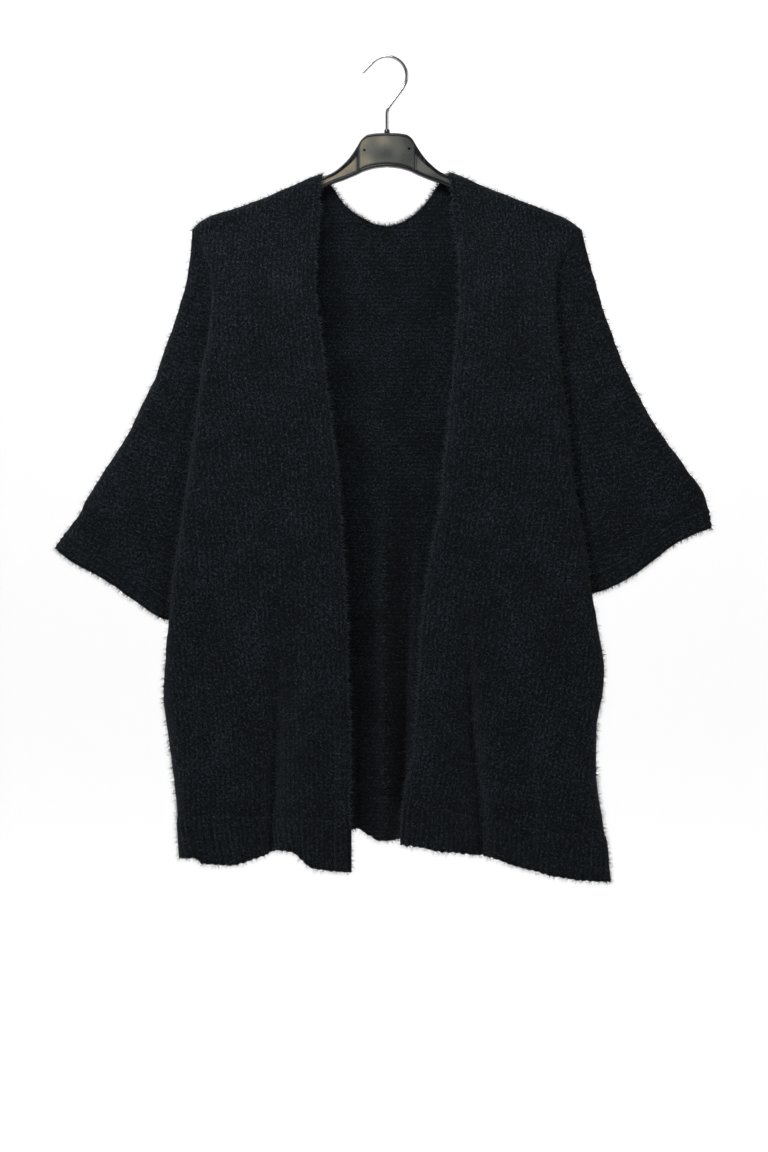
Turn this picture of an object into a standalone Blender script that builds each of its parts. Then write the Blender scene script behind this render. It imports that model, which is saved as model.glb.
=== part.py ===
"""An open-front knitted cardigan hanging on a clothes hanger.

Each knitted piece is a wall of real thickness, worked out from rows of widths and
heights: fronts, back, sleeves, cuffs and hem ribs. The hanger is a moulded body with
a small socket for its wire hook. Sizes are in millimetres and are written in metres.
X is the wearer's left, Y runs from front to back, and Z is up. The origin is the
inside top of the hook, where a rail carries it.
"""
import math

import bmesh
import bpy
import numpy as np
from mathutils import Vector

MM = 0.001
WALL = 2.8                 # thickness of the knitted cloth
SEAM_GAP = 0.3             # space left between two pieces at a seam
SHOULDER_RADIUS = 10.0     # round of the cloth over the hanger's arm
FRONT_DEPTH = 27.0         # how far the fronts hang ahead of the hanger's plane
BACK_DEPTH = 25.0          # how far the back hangs behind it
DEPTH_RAMP = 160.0         # height over which the cloth reaches that depth
ARMHOLE_DEPTH = 8.0        # half thickness of the sleeve where it joins the body
UNDERARM = -505.0          # height of the underarm point
UNDERARM_ROUND = 24.0      # height over which the armhole closes under the arm
UNDERARM_EASE = 1.0        # extra room between sleeve and body there
EDGE_CURL = 4.0            # how far the free front edges roll inwards
EDGE_CURL_WIDTH = 12.0
SHOULDER_TIP = 221.0       # distance of the shoulder tip from the centre line
SIDE_WIDTH = 240.0         # usual distance of the body's side from the centre line
TURN_RADIUS_MIN = 4.0      # radius of the cloth where it turns at the side
TURN_RADIUS_MAX = 60.0
TURN_INSET = 9.5           # how much of the seam's inset the turn itself takes up
FOLD_FADE = 22.0           # distance over which the folds die out towards the side
RIB_PITCH = 8.0            # hem rib, one raised column and one furrow
RIB_RAISE = 1.5
CUFF_RAISE = 1.0
HEM_EDGE_LEVEL = -905.0    # usual height of the hem's lower edge
HEM_ROWS = [0.0, 0.14, 1.0]  # rows of a hem rib, as shares of its height
HEM_STATIONS = 92

# Body rows: height, distance of the front edge and of the side from the centre line,
# how many degrees the cloth turns at the side, and how far in its seam then lies.
BODY_ROWS = {
    "right": [
        (-131, 74.0, 221.0, 12, 3.0),
        (-195, 78.5, 221.0, 12, 3.0),
        (-220, 80.0, 210.0, 35, 3.0),
        (-245, 80.5, 200.0, 75, 3.0),
        (-275, 79.5, 199.0, 125, 6.0),
        (-310, 75.0, 201.5, 165, 10.0),
        (-350, 71.0, 208.5, 180, 13.5),
        (-400, 65.0, 214.5, 180, 16.0),
        (-460, 57.5, 223.0, 180, 18.0),
        (-505, 53.5, 229.5, 180, 22.0),
        (-537, 51.0, 234.2, 180, 29.0),
        (-575, 48.2, 240.0, 180, 29.0),
        (-640, 45.5, 247.0, 180, 19.0),
        (-690, 43.2, 252.0, 90, 0.0),
        (-720, 42.6, 253.6, 90, 0.0),
        (-765, 42.0, 249.0, 90, 0.0),
        (-815, 41.6, 242.0, 90, 0.0),
        (-860, 41.3, 237.3, 90, 0.0),
        (-905, 41.0, 233.5, 90, 0.0),
        (-936, 41.0, 229.0, 90, 0.0),
    ],
    "left": [
        (-131, 70.0, 221.0, 12, 3.0),
        (-195, 77.5, 221.0, 12, 3.0),
        (-220, 80.5, 208.0, 35, 3.0),
        (-245, 82.0, 195.0, 75, 3.0),
        (-275, 81.5, 191.5, 125, 6.0),
        (-310, 79.0, 193.0, 165, 10.0),
        (-350, 76.5, 198.0, 180, 13.5),
        (-400, 71.5, 203.5, 180, 16.0),
        (-460, 64.0, 210.0, 180, 18.0),
        (-505, 60.5, 216.5, 180, 22.0),
        (-537, 55.0, 222.0, 180, 29.0),
        (-565, 49.5, 226.2, 180, 29.0),
        (-610, 42.3, 232.5, 180, 19.0),
        (-660, 38.2, 241.0, 90, 0.0),
        (-692, 36.5, 245.0, 90, 0.0),
        (-720, 34.5, 243.5, 90, 0.0),
        (-760, 32.5, 237.0, 90, 0.0),
        (-790, 29.5, 236.2, 90, 0.0),
        (-830, 20.5, 239.0, 90, 0.0),
        (-870, 17.0, 244.5, 90, 0.0),
        (-910, 15.3, 249.5, 90, 0.0),
        (-936, 15.0, 252.4, 90, 0.0),
    ],
}
SIGN = {"right": -1.0, "left": 1.0}

# Shoulder line, as x and height. Between the neck points it is where the cloth
# would lie if it went on over the hanger.
SHOULDER_LINE = [
    (-221, -195), (-212, -186), (-197, -178.5), (-174, -172), (-145, -161.5),
    (-105, -144.5), (-75, -131.8), (0, -122), (72, -130.8), (105, -143.5),
    (145, -160.5), (174, -171.5), (197, -179.5), (212, -187.5), (221, -195),
]
# Back neckline, as x and height, from one neck point to the other.
BACK_NECK = [
    (-75, -131.8), (-70, -137.5), (-59, -148), (-48, -161), (-38, -172.5),
    (-26, -181), (-12, -187.5), (2, -189), (12, -185.5), (26, -176.5),
    (38, -165), (47, -155), (57, -144), (66, -134.5), (72, -130.8),
]
# Lower edges of the hem ribs, as x and height.
HEM_EDGE = {
    "right": [
        (-253, -903), (-233, -907), (-225, -913), (-193, -914.5), (-151, -905),
        (-130, -898.5), (-112, -900), (-100, -910), (-88, -917.5), (-59, -922), (-41, -923),
    ],
    "left": [
        (15, -892), (42, -895), (62, -899), (97, -902.5), (124, -906),
        (148, -914), (176, -921.5), (200, -927.5), (233, -932), (254, -934),
    ],
    "back": [
        (-253, -903), (-233, -907), (-150, -901), (-60, -884), (-35, -878.5), (-20, -886),
        (-8, -891), (15, -889.5), (80, -893), (160, -909), (254, -934),
    ],
}
# Heights where the panels end and the ribs begin, at the centre and at the sides.
RIB_TOP = {"right": (-866.5, -860.0), "left": (-838.0, -880.0)}
BACK_RIB_TOP_MIDDLE = -838.0

# Folds: x and height of the top and of the bottom, half width, and depth.
# A positive depth goes towards the inside of the garment.
FRONT_FOLDS = {
    "right": [
        (-103, -560, -131, -905, 16, 7.0),
        (-80, -600, -86, -905, 17, -4.0),
        (-150, -470, -212, -680, 15, 2.5),
        (-168, -560, -176, -900, 18, -2.5),
    ],
    "left": [
        (84, -650, 107, -900, 14, 6.0),
        (126, -600, 158, -900, 15, 3.5),
        (56, -560, 60, -900, 16, -3.0),
        (190, -420, 205, -900, 20, -2.5),
    ],
}
BACK_FOLDS = [
    (-2, -400, -4, -890, 13, 5.0),
    (12, -380, 19, -890, 10, -4.0),
    (-34, -600, -32, -890, 9, -6.0),
    (-150, -380, -163, -900, 18, 5.0),
    (-104, -520, -112, -900, 16, -4.0),
    (84, -600, 96, -900, 15, 4.5),
    (150, -360, 168, -910, 19, -5.0),
]

# Sleeves: outer edge from the shoulder tip to the cuff, and the cuff's lower edge,
# as distance from the centre line and height.
SLEEVE_EDGE = {
    "right": [
        (221, -195), (223, -228), (228, -257), (244.5, -308), (258, -349),
        (272, -384), (285.5, -410.5), (310.5, -453.5), (333, -488), (351, -521),
    ],
    "left": [
        (221, -195), (225.5, -218), (238.8, -262), (260.4, -330.6), (274, -361),
        (294, -400), (317, -433.7), (349, -479.6), (361, -498),
    ],
}
CUFF_EDGE = {
    "right": [(377, -557), (360, -571), (322, -592), (292, -612.5), (258, -635.5), (243, -641)],
    "left": [(368.5, -534), (340, -545.5), (318.5, -558), (297.5, -575.5), (260, -599), (228, -611)],
}
# How far the cuff's upper edge lies from its lower one, at its two ends.
CUFF_UP = {
    "right": ((-13.0, 18.0), (-11.5, 18.5)),
    "left": ((-3.5, 21.5), (-10.0, 19.5)),
}
# Sleeve rows: height of the armhole seam, or below it the share of the underarm seam,
# then the share of the outer edge, and the sleeve's half thickness.
SLEEVE_SEAM_ROWS = [
    (-223.0, 0.0, 8.0), (-244.0, 0.11, 8.0), (-273.0, 0.18, 8.5), (-308.0, 0.27, 9.5),
    (-350.0, 0.37, 10.5), (-400.0, 0.48, 11.5), (-450.0, 0.59, 12.5), (-481.0, 0.66, 12.5),
    (-497.0, 0.70, 12.5),
]
SLEEVE_LOW_ROWS = [
    (0.0, 0.73, 12.5), (0.25, 0.80, 12.0), (0.5, 0.87, 11.5), (0.75, 0.935, 11.0), (1.0, 1.0, 10.5),
]
# Columns across one layer, as shares of the way from the seam to the outer edge, and
# for the first row, which follows the seam over the shoulder, as drops from its tip.
SLEEVE_COLUMNS = [0.0, 0.06, 0.16, 0.3, 0.48, 0.66, 0.82, 0.93, 0.985, 1.0]
TIP_DROPS = [28.0, 23.0, 18.0, 14.0, 12.0, 10.0, 7.5, 5.0, 1.4, 0.0]
UNDERARM_SEAM = 3.0        # half width of the sleeve's lower edge
SLEEVE_ROUND = 11.0        # round of the flattened sleeve at its two edges
SLEEVE_SWELL = 0.3         # how fast it swells past the body's fold
CUFF_STEPS = [0.0, 0.12, 0.3, 0.5, 0.7, 0.88, 1.0]

# Rows down a panel. The first lie on the round over the shoulder.
SHOULDER_STEPS = [0.0, 1.4, 5.0, 10.0]
ARMHOLE_LEVELS = [-223.0, -244.0, -273.0, -308.0, -350.0, -400.0, -450.0, -481.0, -497.0, UNDERARM]
SIDE_SHARES = [0.09, 0.2, 0.31, 0.42, 0.52, 0.64, 0.8, 1.0]
RIDGE_ROWS = len(SHOULDER_STEPS) + 1   # panel rows where the armhole seam lies on a ridge
FLAT_COLUMNS = 13
# Columns of one half of the back, as distance from the centre line at the shoulder.
BACK_COLUMNS = [0, 13, 25, 37, 48, 58, 66, 71.5, 77, 92, 110, 130, 150, 170, 186, 200]
TURN_STEPS = 4

# Hanger middle: distance from the centre line, top, bottom, half thickness, corner.
HANGER_MIDDLE = [
    (0.0, -86.2, -124.0, 6.5, 2.5), (12.0, -86.8, -125.2, 6.5, 2.5), (24.0, -88.2, -128.0, 6.5, 2.5),
    (31.0, -97.0, -131.5, 6.0, 2.5), (38.0, -108.5, -134.8, 5.8, 2.5), (50.0, -122.0, -139.5, 5.5, 2.5),
    (60.0, -130.0, -142.9, 5.2, 4.0),
]
# Hanger arms, which lie under the shoulder line: distance, height, half thickness.
HANGER_ARM = [
    (70.0, 12.8, 5.0), (105.0, 12.6, 5.0), (145.0, 12.4, 5.0), (174.0, 11.5, 5.0),
    (193.0, 10.5, 4.6), (202.0, 8.5, 3.8), (206.0, 5.5, 2.6),
]
HANGER_DROP = 4.2          # from the shoulder line down to the top of the arm
WIRE_RADIUS = 1.7
HOOK_RADIUS = 22.5         # centre line of the hook's arc
COLLAR_FOOT = (3.1, -85.9)   # radius and height of the socket's foot and of its top
COLLAR_TOP = (2.7, -81.4)
SEGMENTS_ROUND = 12


def slopes(xs, ys):
    """Slopes of a smooth curve that never swings past its points."""
    steps = np.diff(ys) / np.diff(xs)
    inner = np.zeros(len(xs))
    same = steps[:-1] * steps[1:] > 0
    inner[1:-1][same] = 2 * steps[:-1][same] * steps[1:][same] / (steps[:-1] + steps[1:])[same]
    inner[0] = steps[0]
    inner[-1] = steps[-1]
    return inner


def smooth_through(rows, column, x):
    """Value of one column of a table at x, which the first column gives."""
    table = sorted(rows)
    xs = np.array([row[0] for row in table], float)
    ys = np.array([row[column] for row in table], float)
    inner = slopes(xs, ys)
    x = min(max(x, xs[0]), xs[-1])
    i = min(int(np.searchsorted(xs, x, side="right")) - 1, len(xs) - 2)
    width = xs[i + 1] - xs[i]
    t = (x - xs[i]) / width
    return (ys[i] * (1 + 2 * t) * (1 - t) ** 2 + inner[i] * width * t * (1 - t) ** 2
            + ys[i + 1] * t * t * (3 - 2 * t) + inner[i + 1] * width * t * t * (t - 1))


def ease(t):
    t = min(max(t, 0.0), 1.0)
    return t * t * (3 - 2 * t)


def mix(a, b, t):
    return a + (b - a) * t


def round_off(distance, radius):
    """0 at an edge, 1 from one radius in, along a quarter circle."""
    t = min(max(distance / radius, 0.0), 1.0)
    return math.sqrt(1 - (1 - t) ** 2)


def shoulder_height(x):
    return smooth_through(SHOULDER_LINE, 1, x)


def fold_offset(folds, x, z):
    """How far the folds push the cloth inwards at a place."""
    total = 0.0
    for top_x, top_z, bottom_x, bottom_z, half_width, depth in folds:
        along = (z - top_z) / (bottom_z - top_z)
        if along <= 0:
            continue
        centre = mix(top_x, bottom_x, along)
        total += depth * ease(along * 1.6) * math.exp(-((x - centre) / half_width) ** 2)
    return total


def side_turn(side, full_depth, z):
    """Sizes of the turned edge at one height: centre, radius, angle, straight run, seam."""
    rows = BODY_ROWS[side]
    width = smooth_through(rows, 2, z)
    angle = math.radians(smooth_through(rows, 3, z))
    inset = smooth_through(rows, 4, z)
    below = shoulder_height(SIGN[side] * width) - z
    depth = hang_depth(full_depth, below)
    flat = 1 - ease((math.degrees(angle) - 15) / 60)
    run = max(1.0 + 3.0 * flat, inset - TURN_INSET)
    tail = 1.5 + 4.0 * flat + 2.0 * ease(math.degrees(angle) / 90 - 1)
    radius = (depth - ARMHOLE_DEPTH - (run + tail) * math.sin(angle)) / (1 - math.cos(angle))
    radius = min(max(radius, TURN_RADIUS_MIN), TURN_RADIUS_MAX)
    if angle < math.pi / 2:
        centre = width - radius * math.sin(angle) - (run + tail) * math.cos(angle)
    else:
        centre = width - radius
    return centre, radius, angle, run, tail, width - inset


def hang_depth(full_depth, below):
    """Distance from the hanger's plane, by the distance below the shoulder line."""
    if below < SHOULDER_RADIUS:
        return SHOULDER_RADIUS
    return mix(SHOULDER_RADIUS, full_depth, ease((below - SHOULDER_RADIUS) / DEPTH_RAMP))


def panel_point(side, face, share, z):
    """One outer point of a front or of the back.

    A share of 0 to 1 is the flat cloth from the front edge, or on the back from the
    centre line, out to the turned edge. 1 to 2 is the turn, 2 to 3 the straight run
    behind it and 3 to 4 the last stretch to the seam.
    """
    sign = SIGN[side]
    full_depth = FRONT_DEPTH if face < 0 else BACK_DEPTH
    centre, radius, angle, run, tail, seam = side_turn(side, full_depth, z)
    if share <= 1.0:
        start = smooth_through(BODY_ROWS[side], 1, z) if face < 0 else 0.0
        out = mix(start, centre, share)
        below = shoulder_height(sign * out) - z
        depth = hang_depth(full_depth, below)
        folds = FRONT_FOLDS[side] if face < 0 else BACK_FOLDS
        depth -= fold_offset(folds, sign * out, z) * ease((centre - out) / FOLD_FADE)
        if face < 0:
            curl = max(0.0, 1 - (out - start) / EDGE_CURL_WIDTH) ** 2
            depth -= EDGE_CURL * curl * ease((below - 30) / 90)
    else:
        side_width = smooth_through(BODY_ROWS[side], 2, z)
        depth = hang_depth(full_depth, shoulder_height(sign * side_width) - z)
        turned = angle * min(share - 1, 1.0)
        straight = run * min(max(share - 2, 0.0), 1.0)
        out = centre + radius * math.sin(turned) + straight * math.cos(angle)
        depth -= radius * (1 - math.cos(turned)) + straight * math.sin(angle)
        if share > 3:
            last_out = out + tail * math.cos(angle)
            last_depth = depth - tail * math.sin(angle)
            closing = min(max((UNDERARM + UNDERARM_ROUND - z) / UNDERARM_ROUND, 0.0), 1.0)
            last_out = mix(last_out, seam, closing)
            last_depth *= math.sqrt(1 - closing ** 2)
            out = mix(out, last_out, share - 3)
            depth = mix(depth, last_depth, share - 3)
    rounding = round_off(shoulder_height(sign * out) - z, SHOULDER_RADIUS)
    depth = max(depth * rounding, SEAM_GAP / 2)
    return np.array([sign * out, face * depth, z])


def panel_levels(top, rib_top):
    """Heights of the rows down one column of a panel."""
    levels = [top - step for step in SHOULDER_STEPS]
    first = levels[-1]
    armhole_top = shoulder_height(SHOULDER_TIP) - SHOULDER_STEPS[-1]
    for level in ARMHOLE_LEVELS:
        share = (armhole_top - level) / (armhole_top - UNDERARM)
        levels.append(mix(first, UNDERARM, share))
    levels += [mix(UNDERARM, rib_top, share) for share in SIDE_SHARES]
    return levels


def front_shares():
    flat = [i / (FLAT_COLUMNS - 1) for i in range(FLAT_COLUMNS)]
    turn = [1 + (i + 1) / TURN_STEPS for i in range(TURN_STEPS)]
    return flat + turn + [3.0, 4.0]


def rib_top_height(side, face, x):
    """Height where the rib begins, at a distance from the centre line."""
    middle, edge = RIB_TOP[side]
    if face < 0:
        start = smooth_through(BODY_ROWS[side], 1, middle)
        return mix(middle, edge, math.sin(math.pi / 2 * (abs(x) - start) / (SIDE_WIDTH - start)))
    return mix(BACK_RIB_TOP_MIDDLE, edge, ease(abs(x) / SIDE_WIDTH))


def front_panel_points(side):
    """Outer points of a front, a row per height and a column per share."""
    columns = []
    for share in front_shares():
        rib_x = mix(RIB_START[side], SIDE_WIDTH, min(share, 1.0))
        levels = panel_levels(column_top(side, -1, share), rib_top_height(side, -1, rib_x))
        columns.append([panel_point(side, -1, share, z) for z in levels])
    return np.array(columns).transpose(1, 0, 2)


RIB_START = {side: smooth_through(BODY_ROWS[side], 1, RIB_TOP[side][0]) for side in SIGN}


def back_top(x):
    if BACK_NECK[0][0] < x < BACK_NECK[-1][0]:
        return smooth_through(BACK_NECK, 1, x)
    return shoulder_height(x)


def column_top(side, face, share):
    """Height where a column of a panel meets the shoulder line or the back neckline."""
    top_line = shoulder_height if face < 0 else back_top
    z = -160.0
    for _ in range(12):
        z = top_line(panel_point(side, face, share, z)[0])
    return z


def back_panel_points():
    """Outer points of the back, from the wearer's right seam to the left one."""
    turn = [3.0] + [1 + (i + 1) / TURN_STEPS for i in reversed(range(TURN_STEPS))]
    half = [x / BACK_COLUMNS[-1] for x in BACK_COLUMNS]
    flat = [-share for share in reversed(half[1:])] + half
    stations = [("right", share) for share in [4.0] + turn]
    stations += [("right" if f < 0 else "left", abs(f)) for f in flat]
    stations += [("left", share) for share in list(reversed(turn)) + [4.0]]
    columns = []
    for side, share in stations:
        out = min(share, 1.0)
        levels = panel_levels(column_top(side, 1, share), rib_top_height(side, 1, SIDE_WIDTH * out))
        columns.append([panel_point(side, 1, share, z) for z in levels])
    return np.array(columns).transpose(1, 0, 2)


def evenly(points, count):
    """The same line, as count points at equal distances."""
    lengths = np.linalg.norm(np.diff(points, axis=0), axis=1)
    at = np.concatenate([[0.0], np.cumsum(lengths)])
    wanted = np.linspace(0.0, at[-1], count)
    return np.stack([np.interp(wanted, at, points[:, k]) for k in range(3)], axis=1)


def hem_points(lines):
    """Outer points of a hem rib and how far each is raised.

    lines holds, for each row, the stations (side, face, share, height) across it.
    """
    rows = []
    fine = [np.array([panel_point(*station) for station in line]) for line in lines]
    width = np.linalg.norm(np.diff(fine[0], axis=0), axis=1).sum()
    columns = 2 * round(width / RIB_PITCH) + 1
    for line in fine:
        rows.append(evenly(line, columns))
    raised = np.zeros((len(rows), columns))
    raised[:, 1::2] = RIB_RAISE
    raised[0, :] = 0.0
    return np.array(rows), raised


def hem_front(side):
    lines = []
    for down in HEM_ROWS:
        line = []
        for i in range(HEM_STATIONS + 1):
            share = 4.0 * i / HEM_STATIONS
            out = min(share, 1.0)
            rib_top = rib_top_height(side, -1, mix(RIB_START[side], SIDE_WIDTH, out)) - SEAM_GAP
            start = smooth_through(BODY_ROWS[side], 1, HEM_EDGE_LEVEL)
            width = smooth_through(BODY_ROWS[side], 2, HEM_EDGE_LEVEL)
            edge = smooth_through(HEM_EDGE[side], 1, SIGN[side] * mix(start, width, out))
            line.append((side, -1, share, mix(rib_top, edge, down)))
        lines.append(line)
    return hem_points(lines)


def hem_back():
    lines = []
    for down in HEM_ROWS:
        line = []
        for i in range(-HEM_STATIONS, HEM_STATIONS + 1):
            side = "right" if i < 0 else "left"
            share = 4.0 * abs(i) / HEM_STATIONS
            out = min(share, 1.0)
            rib_top = rib_top_height(side, 1, SIDE_WIDTH * out) - SEAM_GAP
            width = smooth_through(BODY_ROWS[side], 2, HEM_EDGE_LEVEL)
            edge = smooth_through(HEM_EDGE["back"], 1, SIGN[side] * width * out)
            line.append((side, 1, share, mix(rib_top, edge, down)))
        lines.append(line)
    return hem_points(lines)


def along_line(rows, share):
    """Point at a share of the length of a table's smooth line, as x and height."""
    points = np.array(rows, float)
    at = np.concatenate([[0.0], np.cumsum(np.hypot(*np.diff(points, axis=0).T))])
    wanted = share * at[-1]
    table_x = [(a, p[0]) for a, p in zip(at, points)]
    table_z = [(a, p[1]) for a, p in zip(at, points)]
    return np.array([smooth_through(table_x, 1, wanted), smooth_through(table_z, 1, wanted)])


def seam_point(side, face, z):
    """A point of the sleeve's edge at the armhole, a seam's gap off the body."""
    point = panel_point(side, face, 4.0, z)
    room = 1.2 * SEAM_GAP
    half_turn = math.radians(smooth_through(BODY_ROWS[side], 3, z)) / 2
    low = ease((UNDERARM_ROUND + 20 - abs(z - UNDERARM)) / UNDERARM_ROUND)
    point[0] += SIGN[side] * (room * math.cos(half_turn) + UNDERARM_EASE * low)
    point[1] -= face * (room * math.sin(half_turn) + UNDERARM_EASE * low)
    return point


def cuff_lines(side, shares):
    """Upper and lower edge of the cuff, as distance from the centre line and height."""
    lower = np.array([along_line(CUFF_EDGE[side], 1 - share) for share in shares])
    last, first = (np.array(end) for end in CUFF_UP[side])
    upper = np.array([p + mix(first, last, share) for p, share in zip(lower, shares)])
    return upper, lower


def sleeve_thickness(side, depth, share, width, place, inner):
    """Half thickness of the flattened sleeve, which stays thin behind the body's fold.

    inner is the half thickness at the seam, where the share is 0.
    """
    past_fold = place[0] - smooth_through(BODY_ROWS[side], 2, place[1])
    near_underarm = ease(1 - abs(place[1] - UNDERARM) / 60)
    limit = ARMHOLE_DEPTH - 0.4 - UNDERARM_EASE * near_underarm
    depth = min(depth, limit + SLEEVE_SWELL * max(0.0, past_fold))
    depth = mix(inner, depth, round_off(share * width, SLEEVE_ROUND))
    return depth * round_off((1 - share) * width, SLEEVE_ROUND)


def sleeve_layer(side, face):
    """One layer of the sleeve, from the shoulder down to the cuff."""
    sign = SIGN[side]
    upper, _ = cuff_lines(side, SLEEVE_COLUMNS)
    edge_rows = SLEEVE_EDGE[side] + [tuple(upper[-1])]
    tip = shoulder_height(SHOULDER_TIP)
    rows = [[seam_point(side, face, tip - drop) for drop in TIP_DROPS]]
    rows[0][-1][1] = 0.0
    stations = []
    for z, edge_share, depth in SLEEVE_SEAM_ROWS[1:]:
        seam = seam_point(side, face, z)
        stations.append((np.array([abs(seam[0]), z]), abs(seam[1]), edge_share, depth))
    underarm = np.array([abs(seam_point(side, face, UNDERARM)[0]) + UNDERARM_EASE, UNDERARM])
    for share, edge_share, depth in SLEEVE_LOW_ROWS:
        stations.append((mix(underarm, upper[0], share), UNDERARM_SEAM, edge_share, depth))
    for inner, inner_depth, edge_share, depth in stations:
        outer = along_line(edge_rows, edge_share)
        width = np.hypot(*(outer - inner))
        row = []
        for share, at_cuff in zip(SLEEVE_COLUMNS, upper):
            place = mix(inner, outer, share)
            if edge_share == 1.0:
                place = at_cuff
            y = sleeve_thickness(side, depth, share, width, place, inner_depth)
            row.append(np.array([sign * place[0], face * y, place[1]]))
        rows.append(row)
    return np.array(rows)


def both_layers(front, back):
    """Columns from the front seam out to the edge and in along the back."""
    return np.concatenate([front, back[:, -2::-1]], axis=1)


def cuff_points(side):
    """Outer points of a cuff and how far each ring is raised."""
    upper, lower = cuff_lines(side, SLEEVE_COLUMNS)
    width = np.hypot(*(upper[0] - upper[-1]))
    length = np.hypot(*(upper[0] - lower[0]))
    depth = SLEEVE_LOW_ROWS[-1][2]
    rings, raised = [], []
    for step in CUFF_STEPS:
        down = mix(SEAM_GAP / length, 1.0, step)
        layers = []
        for face in (-1, 1):
            row = []
            for share, top, bottom in zip(SLEEVE_COLUMNS, upper, lower):
                place = mix(top, bottom, down)
                y = sleeve_thickness(side, depth, share, width, place, UNDERARM_SEAM)
                row.append([SIGN[side] * place[0], face * y, place[1]])
            layers.append(np.array([row]))
        rings.append(both_layers(*layers)[0])
        raised.append([CUFF_RAISE * abs(math.sin(2 * math.pi * step))] * len(rings[-1]))
    return np.array(rings), np.array(raised)


def ridge_normal(side, face, z):
    """The direction across the wall at the armhole seam, near the shoulder tip."""
    drop = (shoulder_height(SHOULDER_TIP) - z) / SHOULDER_RADIUS
    up = max(0.0, 1 - drop)
    out = mix(0.75, 0.2, min(drop, 1.0))
    normal = np.array([SIGN[side] * out, face * math.sqrt(1 - up ** 2), up])
    return normal / np.linalg.norm(normal)


def outward_normals(points, closed_from=None):
    """A unit normal at each point: the mean of the normals of the faces round it.

    From the row closed_from on, the last column joins the first.
    """
    rows, columns = points.shape[:2]
    grid = np.concatenate([points, points[:, :1]], axis=1)
    faces = np.cross(grid[1:, 1:] - grid[:-1, :-1], grid[1:, :-1] - grid[:-1, 1:])
    faces /= np.maximum(np.linalg.norm(faces, axis=2, keepdims=True), 1e-9)
    faces[:rows if closed_from is None else closed_from, -1] = 0.0
    total = np.zeros_like(points)
    total[:-1] += faces
    total[1:] += faces
    total[:-1] += np.roll(faces, 1, axis=1)
    total[1:] += np.roll(faces, 1, axis=1)
    total /= np.linalg.norm(total, axis=2, keepdims=True)
    middle = rows // 2
    if closed_from is None:
        centre = columns // 2
        outward = total[middle, centre, 1] * points[middle, centre, 1] > 0
    else:
        outward = (total[middle] * (points[middle] - points[middle].mean(axis=0))).sum() > 0
    return total if outward else -total


def level_normals(normals, rows, columns, axis=1):
    """Keep a border's wall in the plane of its seam, which is square to an axis."""
    part = normals[rows, columns]
    part[..., axis] = 0.0
    normals[rows, columns] = part / np.linalg.norm(part, axis=-1, keepdims=True)


def make_material(name, colour, roughness, metallic=0.0):
    material = bpy.data.materials.new(name)
    material.use_nodes = True
    shader = material.node_tree.nodes["Principled BSDF"]
    shader.inputs["Base Color"].default_value = (*colour, 1.0)
    shader.inputs["Roughness"].default_value = roughness
    shader.inputs["Metallic"].default_value = metallic
    return material


def add_object(name, mesh, material, smooth_angle=40):
    mesh.materials.append(material)
    mesh.shade_smooth()
    mesh.set_sharp_from_angle(angle=math.radians(smooth_angle))
    made = bpy.data.objects.new(name, mesh)
    bpy.context.scene.collection.objects.link(made)
    return made


def mesh_from(name, points, faces):
    mesh = bpy.data.meshes.new(name)
    mesh.from_pydata([Vector(p) * MM for p in points], [], faces)
    work = bmesh.new()
    work.from_mesh(mesh)
    bmesh.ops.recalc_face_normals(work, faces=work.faces)
    work.to_mesh(mesh)
    work.free()
    return mesh


def cloth_wall(name, points, normals, material, closed_from=None, raised=None):
    """A wall with the points on its outside, closed along its borders."""
    rows, columns = points.shape[:2]
    lift = np.zeros((rows, columns)) if raised is None else raised
    outer = points + normals * lift[..., None]
    inner = points - normals * WALL
    vertices = np.concatenate([outer.reshape(-1, 3), inner.reshape(-1, 3)])
    behind = rows * columns
    joined = rows if closed_from is None else closed_from
    faces = []
    for i in range(rows - 1):
        for j in range(columns if i >= joined else columns - 1):
            k = (j + 1) % columns
            a, b = i * columns + j, i * columns + k
            c, d = b + columns, a + columns
            for triangle in ([a, b, c], [a, c, d]):
                faces.append(triangle)
                faces.append([behind + v for v in reversed(triangle)])
    last = (rows - 1) * columns
    border = [(j, j + 1) for j in range(columns - 1)]
    border += [(last + j + 1, last + j) for j in range(columns - 1)]
    for i in range(min(joined, rows - 1)):
        border.append(((i + 1) * columns, i * columns))
        border.append((i * columns + columns - 1, (i + 1) * columns + columns - 1))
    if joined < rows:
        border.append((joined * columns + columns - 1, joined * columns))
        border.append((last, last + columns - 1))
    for a, b in border:
        faces.append([b, a, behind + a, behind + b])
    return add_object(name, mesh_from(name, vertices, faces), material)


def set_ridge(points, normals, side, face):
    """Give the borders of body and sleeve the same direction across the wall."""
    for point, normal in zip(points, normals):
        normal[:] = ridge_normal(side, face, point[2])


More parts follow.
